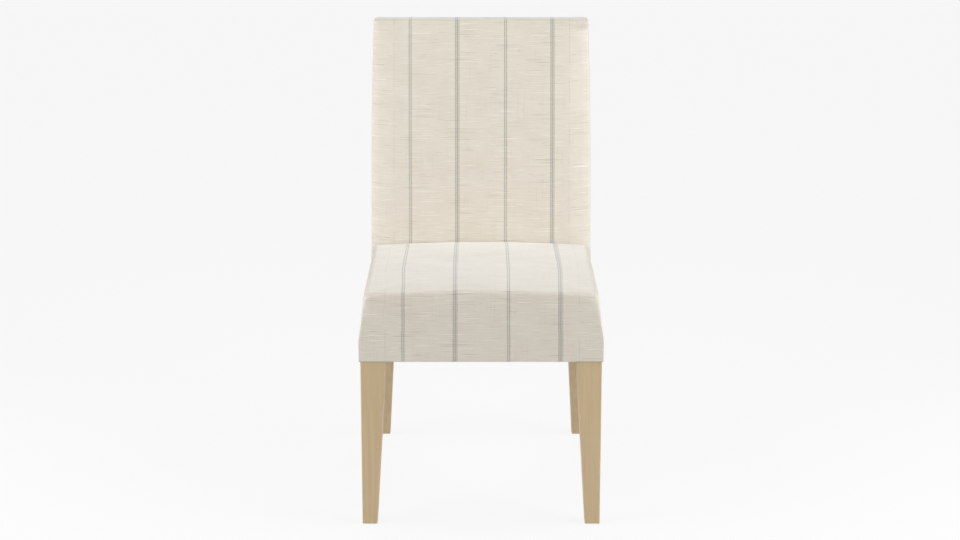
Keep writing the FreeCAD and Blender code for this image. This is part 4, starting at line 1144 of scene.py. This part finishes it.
FLOOR_SIZE = 30
FLOOR_ALBEDO = 0.7
GLOW_STRENGTH, GLOW_SHARE = 1.015, 0.85
WORLD_LIGHT, WORLD_SEEN = 0.10, 0.84


def stage():
    """A pale grey floor and a world that the camera sees nearly white, with the shadow on the floor."""
    floor = bpy.data.meshes.new("floor")
    ends = (-FLOOR_SIZE, FLOOR_SIZE)
    corners = [(x, y, 0) for y in ends for x in ends]
    floor.from_pydata(corners, [], [(0, 1, 3, 2)])
    plane = put("floor", floor)
    finish = Finish("floor_white", roughness=1.0, specular=0.0)
    finish.shader.inputs["Base Color"].default_value = (FLOOR_ALBEDO, FLOOR_ALBEDO, FLOOR_ALBEDO, 1)
    tree = finish.tree
    glow = finish.add("Emission", {"Color": (1.0, 1.0, 1.0, 1), "Strength": GLOW_STRENGTH})
    ray = tree.nodes.new("ShaderNodeLightPath").outputs
    seen = finish.math("MAXIMUM", ray["Is Camera Ray"], ray["Is Glossy Ray"])
    share = finish.math("MULTIPLY", seen, GLOW_SHARE)
    mixed = finish.add("MixShader", {0: share, 1: finish.shader.outputs[0], 2: glow})
    finish.feed(tree.nodes["Material Output"].inputs["Surface"], mixed)
    floor.materials.append(finish.material)

    world = bpy.data.worlds.new("studio")
    bpy.context.scene.world = world
    world.use_nodes = True
    tree = world.node_tree
    backdrop = tree.nodes["Background"]
    backdrop.inputs["Color"].default_value = (1, 1, 1, 1)
    ray = tree.nodes.new("ShaderNodeLightPath").outputs
    strength = tree.nodes.new("ShaderNodeMath")
    strength.operation = "MULTIPLY_ADD"
    tree.links.new(ray["Is Camera Ray"], strength.inputs[0])
    strength.inputs[1].default_value = WORLD_SEEN
    strength.inputs[2].default_value = WORLD_LIGHT
    tree.links.new(strength.outputs[0], backdrop.inputs["Strength"])


def turned_to(direction):
    """The rotation of a lamp that shines from this direction."""
    return Vector(direction).to_track_quat("Z", "Y").to_euler()


def sun(name, direction, strength, spread, tint):
    """A soft lamp so far away that it lights everything alike."""
    data = bpy.data.lights.new(name, "SUN")
    data.energy = strength
    data.color = tint
    data.angle = math.radians(spread)
    put(name, data).rotation_euler = turned_to(direction)


SOFTBOX_SIZE = 1.2
SOFTBOX_AIM = Vector((0, 0, 0.6))


def softbox(name, place, power):
    data = bpy.data.lights.new(name, "AREA")
    data.energy = power
    data.size = SOFTBOX_SIZE
    lamp = put(name, data)
    lamp.location = place
    lamp.rotation_euler = turned_to(Vector(place) - SOFTBOX_AIM)


CAMERA_PLACE = (-0.0023, -3.999, 1.425)
CAMERA_LENS, CAMERA_PITCH = 72.75, 13.6


def camera():
    """The photograph's view: from the front, looking down by the pitch."""
    data = bpy.data.cameras.new("camera")
    data.lens = CAMERA_LENS
    data.sensor_width = 36
    data.clip_end = 100
    seen = put("camera", data)
    seen.location = CAMERA_PLACE
    seen.rotation_euler = (math.radians(90 - CAMERA_PITCH), 0, 0)
    bpy.context.scene.camera = seen


WHITE, WARM, COOL = (1.0, 1.0, 1.0), (1.0, 0.945, 0.84), (0.93, 0.975, 1.0)

stage()
for name, direction, strength, spread, tint in (
    ("left", (-1.0, -0.25, 0.35), 1.5, 60, COOL),
    ("right", (1.0, -0.25, 0.35), 1.68, 60, COOL),
    ("left_front", (-1.0, -0.8, 0.6), 0.24, 50, WHITE),
    ("front", (0.0, -1.0, 0.2), 0.41, 25, WARM),
    ("high_rear", (0.0, 0.8, 1.0), 0.4, 50, WARM),
):
    sun(name, direction, strength, spread, tint)
softbox("near_left", (-1.5, -0.5, 1.1), 12.5)
softbox("near_right", (1.5, -0.5, 1.1), 15)
camera()
bpy.context.scene.view_settings.view_transform = "Standard"
